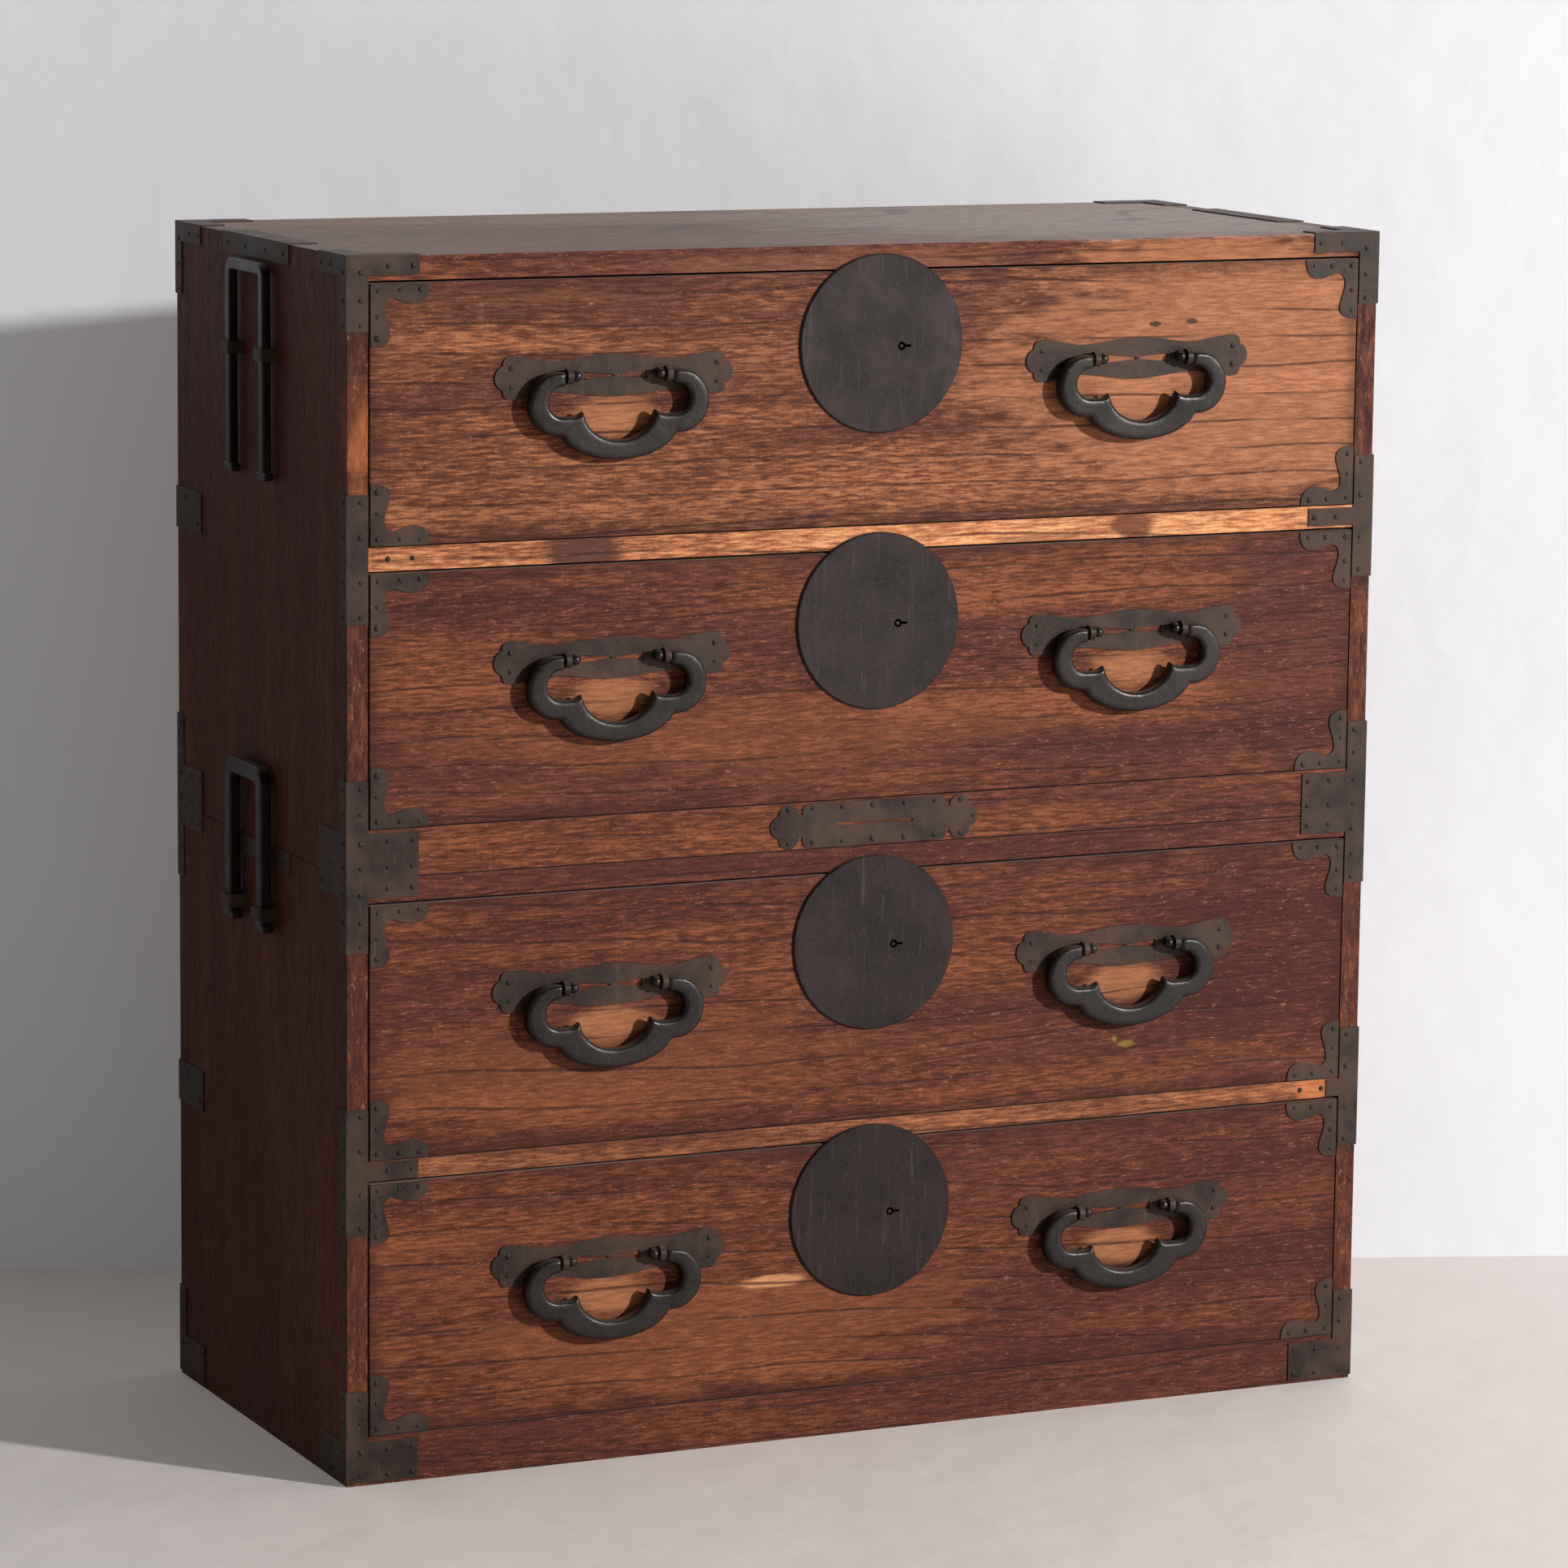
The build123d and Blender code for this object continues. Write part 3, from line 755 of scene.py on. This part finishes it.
@dataclass
class BailForge:
    """Rounds one bail as a forged bar, and sets copies of it in the other bails' places."""

    pattern: str
    material: bpy.types.Material
    grid: float = 1.1 * MM
    passes: int = 9
    pin_reach: float = 7 * MM
    forged: bpy.types.Mesh = field(init=False)

    def __post_init__(self) -> None:
        """Remesh the pattern finely and ease its edges, but for the pins."""
        rough = smooth_copy(self.pattern, "rough_bail", self.material)
        modifier = rough.modifiers.new("grid", "REMESH")
        modifier.mode = "VOXEL"
        modifier.voxel_size = self.grid
        self.forged = baked_mesh(rough)
        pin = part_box(self.pattern)[1][2] - self.pin_reach
        work = bmesh.new()
        work.from_mesh(self.forged)
        free = [vert for vert in work.verts if vert.co.z < pin]
        axes = dict.fromkeys(("use_axis_x", "use_axis_y", "use_axis_z"), True)
        for _ in range(self.passes):
            bmesh.ops.smooth_vert(work, verts=free, factor=0.5, **axes)
        for face in work.faces:
            face.smooth = True
        work.to_mesh(self.forged)
        work.free()

    def place(self, node: str) -> None:
        """Set a forged bail where a CAD bail is.

        Args:
            node: The CAD bail.
        """
        mesh = self.forged.copy()
        step = Vector(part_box(node)[0]) - Vector(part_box(self.pattern)[0])
        mesh.transform(Matrix.Translation(step))
        stand_for(place_mesh(f"{node}_forged", mesh), node)


@dataclass(frozen=True)
class Nail:
    """One nail: its place, the way its head faces, and how proud the head is."""

    place: Point
    facing: Point
    proud: float = 1.0


@dataclass
class NailHeads:
    """Nail heads set on points, made by one geometry node tree."""

    material: bpy.types.Material
    radius: float = 2.1 * MM
    rise: float = 0.8 * MM
    segments: int = 12
    seed: int = 7
    least: float = 0.8
    most: float = 1.2
    tree: bpy.types.NodeTree = field(init=False)
    sockets: dict[str, str] = field(init=False)

    def __post_init__(self) -> None:
        """Write the node tree and note its inputs' identifiers."""
        tree = bpy.data.node_groups.new("nail_heads", "GeometryNodeTree")
        face = tree.interface
        face.new_socket("Geometry", in_out="INPUT", socket_type="NodeSocketGeometry")
        self.sockets = {}
        kinds = {"Radius": "Float", "Rise": "Float", "Seed": "Int", "Finish": "Material"}
        for name, kind in kinds.items():
            socket = face.new_socket(name, in_out="INPUT", socket_type="NodeSocket" + kind)
            self.sockets[name] = socket.identifier
        face.new_socket("Geometry", in_out="OUTPUT", socket_type="NodeSocketGeometry")
        graph = Graph(tree)
        given = graph.node("NodeGroupInput").outputs
        ball = graph.node("GeometryNodeMeshUVSphere")
        ball.inputs["Segments"].default_value = self.segments
        ball.inputs["Rings"].default_value = self.segments // 2
        proud = graph.node("GeometryNodeInputNamedAttribute", data_type="FLOAT")
        proud.inputs["Name"].default_value = "proud"
        rise = graph.math("MULTIPLY", given["Rise"], proud.outputs["Attribute"])
        size = graph.join(given["Radius"], given["Radius"], rise)
        facing = graph.node("GeometryNodeInputNamedAttribute", data_type="FLOAT_VECTOR")
        facing.inputs["Name"].default_value = "facing"
        turn = graph.node("FunctionNodeAlignRotationToVector", axis="Z")
        graph.put(turn.inputs["Vector"], facing.outputs["Attribute"])
        vary = graph.node("FunctionNodeRandomValue", data_type="FLOAT")
        vary.inputs[2].default_value = self.least
        vary.inputs[3].default_value = self.most
        graph.put(vary.inputs["Seed"], given["Seed"])
        place = graph.node("GeometryNodeInstanceOnPoints")
        scale = graph.node("ShaderNodeVectorMath", operation="SCALE")
        graph.put(scale.inputs[0], size)
        graph.put(scale.inputs["Scale"], vary.outputs[1])
        for name, value in (
            ("Points", given["Geometry"]),
            ("Instance", ball.outputs["Mesh"]),
            ("Rotation", turn.outputs["Rotation"]),
            ("Scale", scale.outputs["Vector"]),
        ):
            graph.put(place.inputs[name], value)
        real = graph.node("GeometryNodeRealizeInstances")
        graph.put(real.inputs[0], place.outputs[0])
        soft = graph.node("GeometryNodeSetShadeSmooth")
        graph.put(soft.inputs[0], real.outputs[0])
        paint = graph.node("GeometryNodeSetMaterial")
        graph.put(paint.inputs["Geometry"], soft.outputs[0])
        graph.put(paint.inputs["Material"], given["Finish"])
        graph.put(graph.node("NodeGroupOutput").inputs[0], paint.outputs[0])
        self.tree = tree

    def build(self, name: str, nails: list[Nail], body: str) -> None:
        """Set nails and bake them into one plain mesh.

        Args:
            name: The piece's name.
            nails: The place and facing of each nail.
            body: The body that they ride on.
        """
        points = bpy.data.meshes.new(name + "_points")
        points.from_pydata([nail.place for nail in nails], [], [])
        points.attributes.new("facing", "FLOAT_VECTOR", "POINT")
        points.attributes.new("proud", "FLOAT", "POINT")
        turns, lifts = points.attributes["facing"].data, points.attributes["proud"].data
        for turn, lift, nail in zip(turns, lifts, nails):
            turn.vector, lift.value = nail.facing, nail.proud
        holder = place_mesh(name + "_holder", points)
        modifier = holder.modifiers.new("nails", "NODES")
        modifier.node_group = self.tree
        modifier[self.sockets["Radius"]] = self.radius
        modifier[self.sockets["Rise"]] = self.rise
        modifier[self.sockets["Seed"]] = self.seed
        modifier[self.sockets["Finish"]] = self.material
        baked = baked_mesh(holder)
        baked.name = name
        piece = place_mesh(name, baked)
        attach(piece, body)
        log.info("%s: %d nails", name, len(nails))


# ---------------- the chest
FRONT, BACK, UP = (0.0, -1.0, 0.0), (0.0, 1.0, 0.0), (0.0, 0.0, 1.0)


@dataclass
class Section:
    """One case with its boards, irons and pole bails."""

    name: str
    offset: float
    left_arm: bool = True
    right_arm: bool = True
    divider_tones: Tones = WORN
    divider_stained: float = 0.3
    rail_tones: Tones = STAINED
    patches: dict[str, tuple[Patch, ...]] = field(default_factory=dict)
    top_dusty: float = 0.62
    # Painted shade on the faces of the side boards that look away from the front.
    shaded: float = 0.6
    skin: float = SKIN
    stile_nail: float = 11 * MM
    side_nail: float = 7.5 * MM
    arm_nails: tuple[float, ...] = (34.5 * MM, 55.5 * MM)
    top_leg_nails: tuple[float, ...] = (-13 * MM, -35 * MM, -55 * MM)
    base_leg_nails: tuple[float, ...] = (8 * MM, 28 * MM, 52 * MM, 72 * MM)
    middle_nails: tuple[float, ...] = (-46 * MM, -18 * MM, 18 * MM, 46 * MM)
    base_rows: tuple[float, ...] = (8 * MM, 29 * MM)
    strap_rows: tuple[float, ...] = (-10 * MM, 10 * MM)
    strap_nails: tuple[float, ...] = (22 * MM, 52 * MM)
    rest_nails: tuple[float, ...] = (-66 * MM, -24 * MM, 24 * MM, 66 * MM)
    flush: float = 0.03

    def wood(self, part: str, along: float, **settings: object) -> bpy.types.Material:
        """Make the stained finish of one of the boards.

        Args:
            part: The board.
            along: How far its grain is moved from that of the others.
            settings: What else differs in its finish.

        Returns:
            The material.
        """
        patches = self.patches.get(part, ())
        name = f"{self.name}_{part}_wood"
        return StainedWood(name, offset=self.offset + along, patches=patches, **settings).make()

    def dress(self, iron: bpy.types.Material, bare: bpy.types.Material) -> None:
        """Give every node of the case its material.

        Args:
            iron: The irons' finish.
            bare: The finish of the bottom and back.
        """
        finishes = {
            "sides": self.wood("side", 0.7, tones=DEEP, grain=Grain.ALONG_HEIGHT, shaded=self.shaded),
            "base_rail": self.wood("rail", 1.3, tones=self.rail_tones),
            "top": self.wood("top", 2.1, dusty=self.top_dusty),
            "divider": self.wood(
                "divider", 2.9, tones=self.divider_tones, stained=self.divider_stained
            ),
            "bottom": bare,
            "back": bare,
            "irons": iron,
            "staples": iron,
        }
        for part, material in finishes.items():
            dress(f"{self.name}_{part}", material)

    def pole_bails(self, iron: bpy.types.Material) -> None:
        """Smooth forged pole bails.

        Args:
            iron: Their finish.
        """
        for side in ("left", "right"):
            node = f"{self.name}_pole_bail_{side}"
            stand_for(smooth_copy(node, f"{node}_forged", iron), node)

    def nails(self) -> list[Nail]:
        """Place every nail in the case irons, on the front, sides, top and back.

        Returns:
            The nails.
        """
        low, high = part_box(f"{self.name}_sides")
        divider_low, divider_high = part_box(f"{self.name}_divider")
        middle = (divider_low[2] + divider_high[2]) / 2
        skin = self.skin
        heights = [high[2] + drop for drop in self.top_leg_nails]
        heights += [low[2] + rise for rise in self.base_leg_nails]
        front_heights = heights + [middle + step for step in self.middle_nails]
        arm_rows = [high[2] - self.base_rows[0]] + [low[2] + row for row in self.base_rows]
        rest_low, rest_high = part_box(f"{self.name}_staples")
        rest_middle = (rest_low[1] + rest_high[1]) / 2
        stile, edge_nail, top = self.stile_nail, self.side_nail, high[2] + skin
        nails: list[Nail] = []
        for side, arm in ((-1, self.left_arm), (1, self.right_arm)):
            edge = low[0] if side < 0 else high[0]
            outer = edge + side * skin
            outward = (float(side), 0.0, 0.0)
            nails += [Nail((edge - side * stile, low[1] - skin, z), FRONT) for z in front_heights]
            nails += [Nail((outer, low[1] + edge_nail, z), outward) for z in front_heights]
            nails += [Nail((edge - side * stile, high[1] + skin, z), BACK, self.flush) for z in heights]
            nails += [Nail((outer, high[1] - edge_nail, z), outward) for z in heights]
            for reach in self.arm_nails:
                for z in arm_rows:
                    nails.append(Nail((edge - side * reach, low[1] - skin, z), FRONT))
                    nails.append(Nail((outer, low[1] + reach, z), outward))
                    nails.append(Nail((outer, high[1] - reach, z), outward))
                depth = skin if arm else 0.0
                nails.append(Nail((edge - side * reach, low[1] - depth, middle), FRONT))
                nails.append(Nail((edge - side * reach, low[1] + stile, top), UP, self.flush))
                nails.append(Nail((edge - side * stile, low[1] + reach, top), UP, self.flush))
                nails.append(Nail((edge - side * stile, high[1] - reach, top), UP, self.flush))
            for reach in self.strap_nails:
                for row in self.strap_rows:
                    nails.append(Nail((outer, high[1] - reach, middle + row), outward))
            for step in self.rest_nails:
                y = rest_middle + step
                nails.append(Nail((outer, y, high[2] - self.base_rows[0]), outward))
                nails.append(Nail((edge - side * 2 * edge_nail, y, top), UP, self.flush))
        return nails


@dataclass
class RailPlate:
    """The nails of the long plate on the upper base rail."""

    skin: float = SKIN
    row_x: tuple[float, ...] = (-57 * MM, -30 * MM, -2 * MM, 27 * MM, 55 * MM)
    row_z: float = 14.3 * MM
    lobe_x: float = 79 * MM
    tip_x: float = 91 * MM

    def nails(self) -> list[Nail]:
        """Two rows along the body, and one nail in each lobe.

        Returns:
            The nails.
        """
        low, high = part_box("upper_base_rail")
        middle = (low[2] + high[2]) / 2
        places = [(x, row * self.row_z) for x in self.row_x for row in (-1, 1)]
        places += [(side * self.lobe_x, row * self.row_z) for side in (-1, 1) for row in (-1, 1)]
        places += [(side * self.tip_x, 0.0) for side in (-1, 1)]
        return [Nail((x, low[1] - self.skin, middle + z), FRONT) for x, z in places]


@dataclass
class Drawer:
    """One drawer with its lock, corner irons and two handles."""

    number: int
    offset: float
    # Pale tone of the lock disc's iron, darker from drawer 1 down to drawer 4: painted shade for the
    # light falling off downwards.
    disc_pale_painted_falloff: Colour
    tones: Tones = STAINED
    stained: float = 0.5
    patches: tuple[Patch, ...] = ()
    plate_skin: float = 1.6 * MM
    handle_x: float = 237.5 * MM
    pin_rise: float = 0.8 * MM
    grip_drop: float = 33 * MM
    grip_half: Point = (40 * MM, 0.1, 17 * MM)
    grip_worn: Colour = shade(180, 118, 80)
    corner_nails: tuple[tuple[float, float], ...] = ((6, 5.5), (25, 5), (42, 4.5), (5.5, 26), (5.5, 43))
    plate_nails: tuple[tuple[float, float], ...] = ((-90, -8.5), (-90, 7), (90, -8.5), (90, 7))

    @property
    def name(self) -> str:
        """The start of this drawer's node names."""
        return f"drawer_{self.number}"

    def pin_height(self) -> float:
        """Height of the handles' pins."""
        low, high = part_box(f"{self.name}_handle_plates")
        return (low[2] + high[2]) / 2 + self.pin_rise

    def dress(self, iron: bpy.types.Material, bare: bpy.types.Material) -> None:
        """Give every node of the drawer its material.

        Args:
            iron: The irons' finish.
            bare: The finish of the walls and bottom.
        """
        low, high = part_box(f"{self.name}_front")
        grip = self.pin_height() - self.grip_drop
        worn = tuple(
            Patch((side * self.handle_x, low[1], grip), self.grip_half, self.grip_worn, 0.7, 0.7)
            for side in (-1, 1)
        )
        wood = StainedWood(
            f"{self.name}_wood",
            tones=self.tones,
            offset=self.offset,
            stained=self.stained,
            patches=self.patches + worn,
            edges=(low, high),
        ).make()
        dress(f"{self.name}_front", wood)
        for part in ("walls", "bottom"):
            dress(f"{self.name}_{part}", bare)
        # The discs share one iron but for its pale tone, which paints the light's falloff down the
        # front.
        disc = AgedIron(
            f"{self.name}_disc_iron",
            shade(27, 21, 21),
            self.disc_pale_painted_falloff,
            scuffed=0.16,
            relief_depth=0.15 * MM,
            shine=0.2,
        ).make()
        dress(f"{self.name}_lock_disc", disc)
        for part in ("lock_case", "lock_bolt", "corner_irons", "handle_plates"):
            dress(f"{self.name}_{part}", iron)

    def bails(self, forge: BailForge) -> None:
        """Set the two forged bails."""
        for side in ("left", "right"):
            forge.place(f"{self.name}_bail_{side}")

    def nails(self) -> list[Nail]:
        """Place the nails of the corner irons and handle plates.

        Returns:
            The nails.
        """
        low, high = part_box(f"{self.name}_corner_irons")
        face = low[1]
        nails: list[Nail] = []
        for side, edge in ((1, low[0]), (-1, high[0])):
            for up, corner in ((1, low[2]), (-1, high[2])):
                for inward, rise in self.corner_nails:
                    place = (edge + side * inward * MM, face, corner + up * rise * MM)
                    nails.append(Nail(place, FRONT))
        plate_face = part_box(f"{self.name}_front")[0][1] - self.plate_skin
        pin = self.pin_height()
        for side in (-1, 1):
            for across, rise in self.plate_nails:
                place = (side * self.handle_x + across * MM, plate_face, pin + rise * MM)
                nails.append(Nail(place, FRONT))
            middle = (side * self.handle_x, plate_face + self.plate_skin, pin - self.pin_rise)
            nails.append(Nail(middle, FRONT))
        return nails


# ---------------- studio
@dataclass
class Studio:
    """Floor, backdrop, lamps and camera."""

    eye: Point = (-2.2266, -4.8200, 1.3789)
    forward: Point = (0.41511, 0.89572, -0.15928)
    right: Point = (0.90799, -0.41885, 0.01095)
    lens: float = 144.09
    sensor: float = 36.0
    far: float = 60.0
    reach: float = 14.0
    height: float = 9.0
    wall_ahead: float = 0.42
    wall_turn: float = math.radians(5)
    key_from: Point = (4.43, -5.67, 2.71)
    key_size: float = 0.34
    key_power: float = 590.0
    key_colour: Colour = (1.0, 0.97, 0.94)
    key_aim: Point = (0.0, -0.1, 0.5)
    fill: float = 0.19

    def sheet(self, name: str, corners: list[Point], material: bpy.types.Material) -> None:
        """Lay one flat stage surface.

        Args:
            name: Its name.
            corners: Its corners, in order.
            material: Its finish.
        """
        mesh = bpy.data.meshes.new(name)
        mesh.from_pydata(corners, [], [tuple(range(len(corners)))])
        mesh.materials.append(material)
        place_mesh(name, mesh)

    def build(self) -> None:
        """Build the stage, the lamps, the world and the camera."""
        reach = self.reach
        self.sheet(
            "floor",
            [(-reach, -reach, 0), (reach, -reach, 0), (reach, reach, 0), (-reach, reach, 0)],
            StagePaint("floor_paint", shade(232, 226, 222)).make(),
        )
        ahead = Vector((self.forward[0], self.forward[1], 0)).normalized()
        foot = ahead * self.wall_ahead
        across = Matrix.Rotation(self.wall_turn, 3, "Z") @ Vector((ahead.y, -ahead.x, 0))
        ends = [foot - across * reach, foot + across * reach]
        rise = Vector((0, 0, self.height))
        wall = [tuple(corner) for corner in (ends[0], ends[1], ends[1] + rise, ends[0] + rise)]
        self.sheet("wall", wall, StagePaint("wall_paint", shade(233, 236, 243), one_sided=True).make())
        self.lamp()
        self.world()
        self.camera()

    def lamp(self) -> None:
        """The key lamp, low at the front right."""
        lamp = bpy.data.lights.new("key_lamp", "AREA")
        lamp.shape = "DISK"
        lamp.size = self.key_size
        lamp.energy = self.key_power
        lamp.color = self.key_colour
        holder = bpy.data.objects.new("key_lamp", lamp)
        holder.location = self.key_from
        aim = Vector(self.key_aim) - Vector(self.key_from)
        holder.rotation_euler = aim.to_track_quat("-Z", "Y").to_euler()
        bpy.context.scene.collection.objects.link(holder)

    def world(self) -> None:
        """Soft warm light from all round, pale where it is seen."""
        world = bpy.data.worlds.new("room")
        world.use_nodes = True
        graph = Graph(world.node_tree)
        background = world.node_tree.nodes["Background"]
        seen = graph.node("ShaderNodeLightPath").outputs["Is Camera Ray"]
        colour = graph.mix(seen, shade(252, 245, 240), shade(232, 230, 234))
        graph.put(background.inputs["Color"], colour)
        graph.put(background.inputs["Strength"], graph.smooth(seen, 0.0, 1.0, self.fill, 1.0))
        bpy.context.scene.world = world

    def camera(self) -> None:
        """The camera, in front and to the left, a little above."""
        camera = bpy.data.cameras.new("camera")
        camera.lens = self.lens
        camera.sensor_width = self.sensor
        camera.clip_end = self.far
        holder = bpy.data.objects.new("camera", camera)
        forward, right = Vector(self.forward), Vector(self.right)
        up = right.cross(forward)
        turn = Matrix((right, up, -forward)).transposed().to_4x4()
        holder.matrix_world = Matrix.Translation(self.eye) @ turn
        bpy.context.scene.collection.objects.link(holder)
        bpy.context.scene.camera = holder


def main() -> None:
    """Build the studio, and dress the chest."""
    logging.basicConfig(level=logging.INFO)
    scene = bpy.context.scene
    scene.view_settings.view_transform = "Standard"
    Studio().build()

    iron = AgedIron("iron").make()
    forged = AgedIron(
        "forged_iron", shade(12, 8, 7), shade(26, 18, 15), scuffed=0.05, smoothness=0.18, shine=0.36
    ).make()
    nail_iron = AgedIron("nail_iron", shade(30, 25, 24), shade(50, 43, 41), metal=0.3).make()
    bare = StainedWood("bare_wood", tones=BARE, stain=BARE.dark, stained=0.3, dusty=0.1).make()
    heads = NailHeads(nail_iron)
    forge = BailForge("drawer_1_bail_left", forged)

    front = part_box("upper_divider")[0][1]
    middle = sum(corner[2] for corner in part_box("upper_divider")) / 2
    lower_middle = sum(corner[2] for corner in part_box("lower_divider")) / 2
    rail_marks = (
        Patch((-0.265, front, middle), (0.036, 0.05, 0.03), shade(66, 38, 34), 0.92, 0.5),
        Patch((0.238, front, middle), (0.021, 0.05, 0.015), shade(98, 52, 34), 0.9, 1.6),
        Patch((0.15, front, middle - 0.008), (0.05, 0.05, 0.005), shade(132, 78, 52), 0.6, 1.4),
    )
    torn = (Patch((0.424, front, lower_middle), (0.018, 0.05, 0.012), shade(196, 118, 70), 0.9, 0.6),)
    stile = (Patch((-0.4575, front, 0.862), (0.014, 0.02, 0.05), shade(188, 108, 62), 0.6, 1.6),)
    top_rail = (
        Patch((0.31, front, 0.985), (0.13, 0.03, 0.016), shade(190, 124, 82), 0.6, 1.8),
        Patch((-0.05, front, 0.985), (0.2, 0.03, 0.012), shade(150, 98, 74), 0.4, 1.8),
        Patch((0.3, 0.05, 1.002), (0.36, 0.3, 0.008), shade(192, 180, 175), 0.62, 0.9),
    )
    sections = (
        Section(
            "upper",
            offset=0.0,
            left_arm=False,
            divider_tones=PALE,
            divider_stained=0.1,
            patches={"divider": rail_marks, "side": stile, "top": top_rail},
        ),
        Section("lower", offset=5.3, right_arm=False, rail_tones=DEEP, patches={"divider": torn}),
    )
    for section in sections:
        section.dress(iron, bare)
        section.pole_bails(forged)
        nails = section.nails() + (RailPlate().nails() if section.name == "upper" else [])
        heads.build(f"{section.name}_nails", nails, f"{section.name}_case")
        log.info("%s section dressed", section.name)

    # The third colour is painted light, a sheen laid on the upper right of drawer 1.
    purple, warm, painted_sheen = shade(60, 24, 18), shade(146, 86, 54), shade(186, 122, 86)
    flecks = (
        Patch((0.229, front, 0.3195), (0.0035, 0.05, 0.0035), shade(150, 130, 56), 0.75, 1.4),
        Patch((0.241, front, 0.3145), (0.0085, 0.05, 0.003), shade(138, 116, 48), 0.7, 1.8),
    )
    crack = Patch((0.4275, front, 0.082), (0.0009, 0.05, 0.013), shade(20, 10, 8), 1.0, 0.3)
    # The disc tones step darker downwards as painted shade for the light's falloff.
    drawers = (
        Drawer(
            1,
            offset=1.9,
            tones=WARM,
            stained=0.4,
            disc_pale_painted_falloff=shade(56, 47, 48),
            patches=(
                # Painted light: the upper right of drawer 1 is lightened, as the lamp's sheen and
                # nearer light fall there.
                Patch((0.36, front, 0.89), (0.28, 0.1, 0.12), painted_sheen, 0.62, 1.6),
                Patch((0.254, front, 0.9265), (0.006, 0.05, 0.0025), shade(40, 22, 18), 0.85, 1.0),
                Patch((0.289, front, 0.928), (0.006, 0.05, 0.0025), shade(40, 22, 18), 0.85, 1.0),
                Patch((-0.3, front, 0.962), (0.2, 0.1, 0.024), purple, 0.7, 1.4),
            ),
        ),
        Drawer(
            2,
            offset=4.4,
            disc_pale_painted_falloff=shade(50, 41, 42),
            patches=(
                Patch((0.41, front, 0.64), (0.12, 0.1, 0.11), purple, 0.66, 1.8),
                Patch((-0.1, front, 0.6), (0.3, 0.1, 0.03), warm, 0.3, 2.2),
            ),
        ),
        Drawer(
            3,
            offset=7.7,
            disc_pale_painted_falloff=shade(48, 37, 37),
            patches=(
                Patch((0.36, front, 0.39), (0.17, 0.1, 0.1), purple, 0.68, 2.0),
                Patch((-0.25, front, 0.33), (0.22, 0.1, 0.045), warm, 0.35, 2.0),
                *flecks,
            ),
        ),
        Drawer(
            4,
            offset=9.2,
            disc_pale_painted_falloff=shade(40, 30, 29),
            patches=(
                Patch((0.38, front, 0.15), (0.16, 0.1, 0.1), purple, 0.55, 2.0),
                Patch((-0.15, front, 0.1), (0.26, 0.1, 0.05), warm, 0.4, 2.2),
                Patch((-0.088, front, 0.137), (0.03, 0.05, 0.006), shade(214, 150, 104), 0.9, 0.8),
                crack,
            ),
        ),
    )
    for drawer in drawers:
        drawer.dress(iron, bare)
        drawer.bails(forge)
        heads.build(f"{drawer.name}_nails", drawer.nails(), drawer.name)
        log.info("%s dressed", drawer.name)


if __name__ == "__main__":
    main()
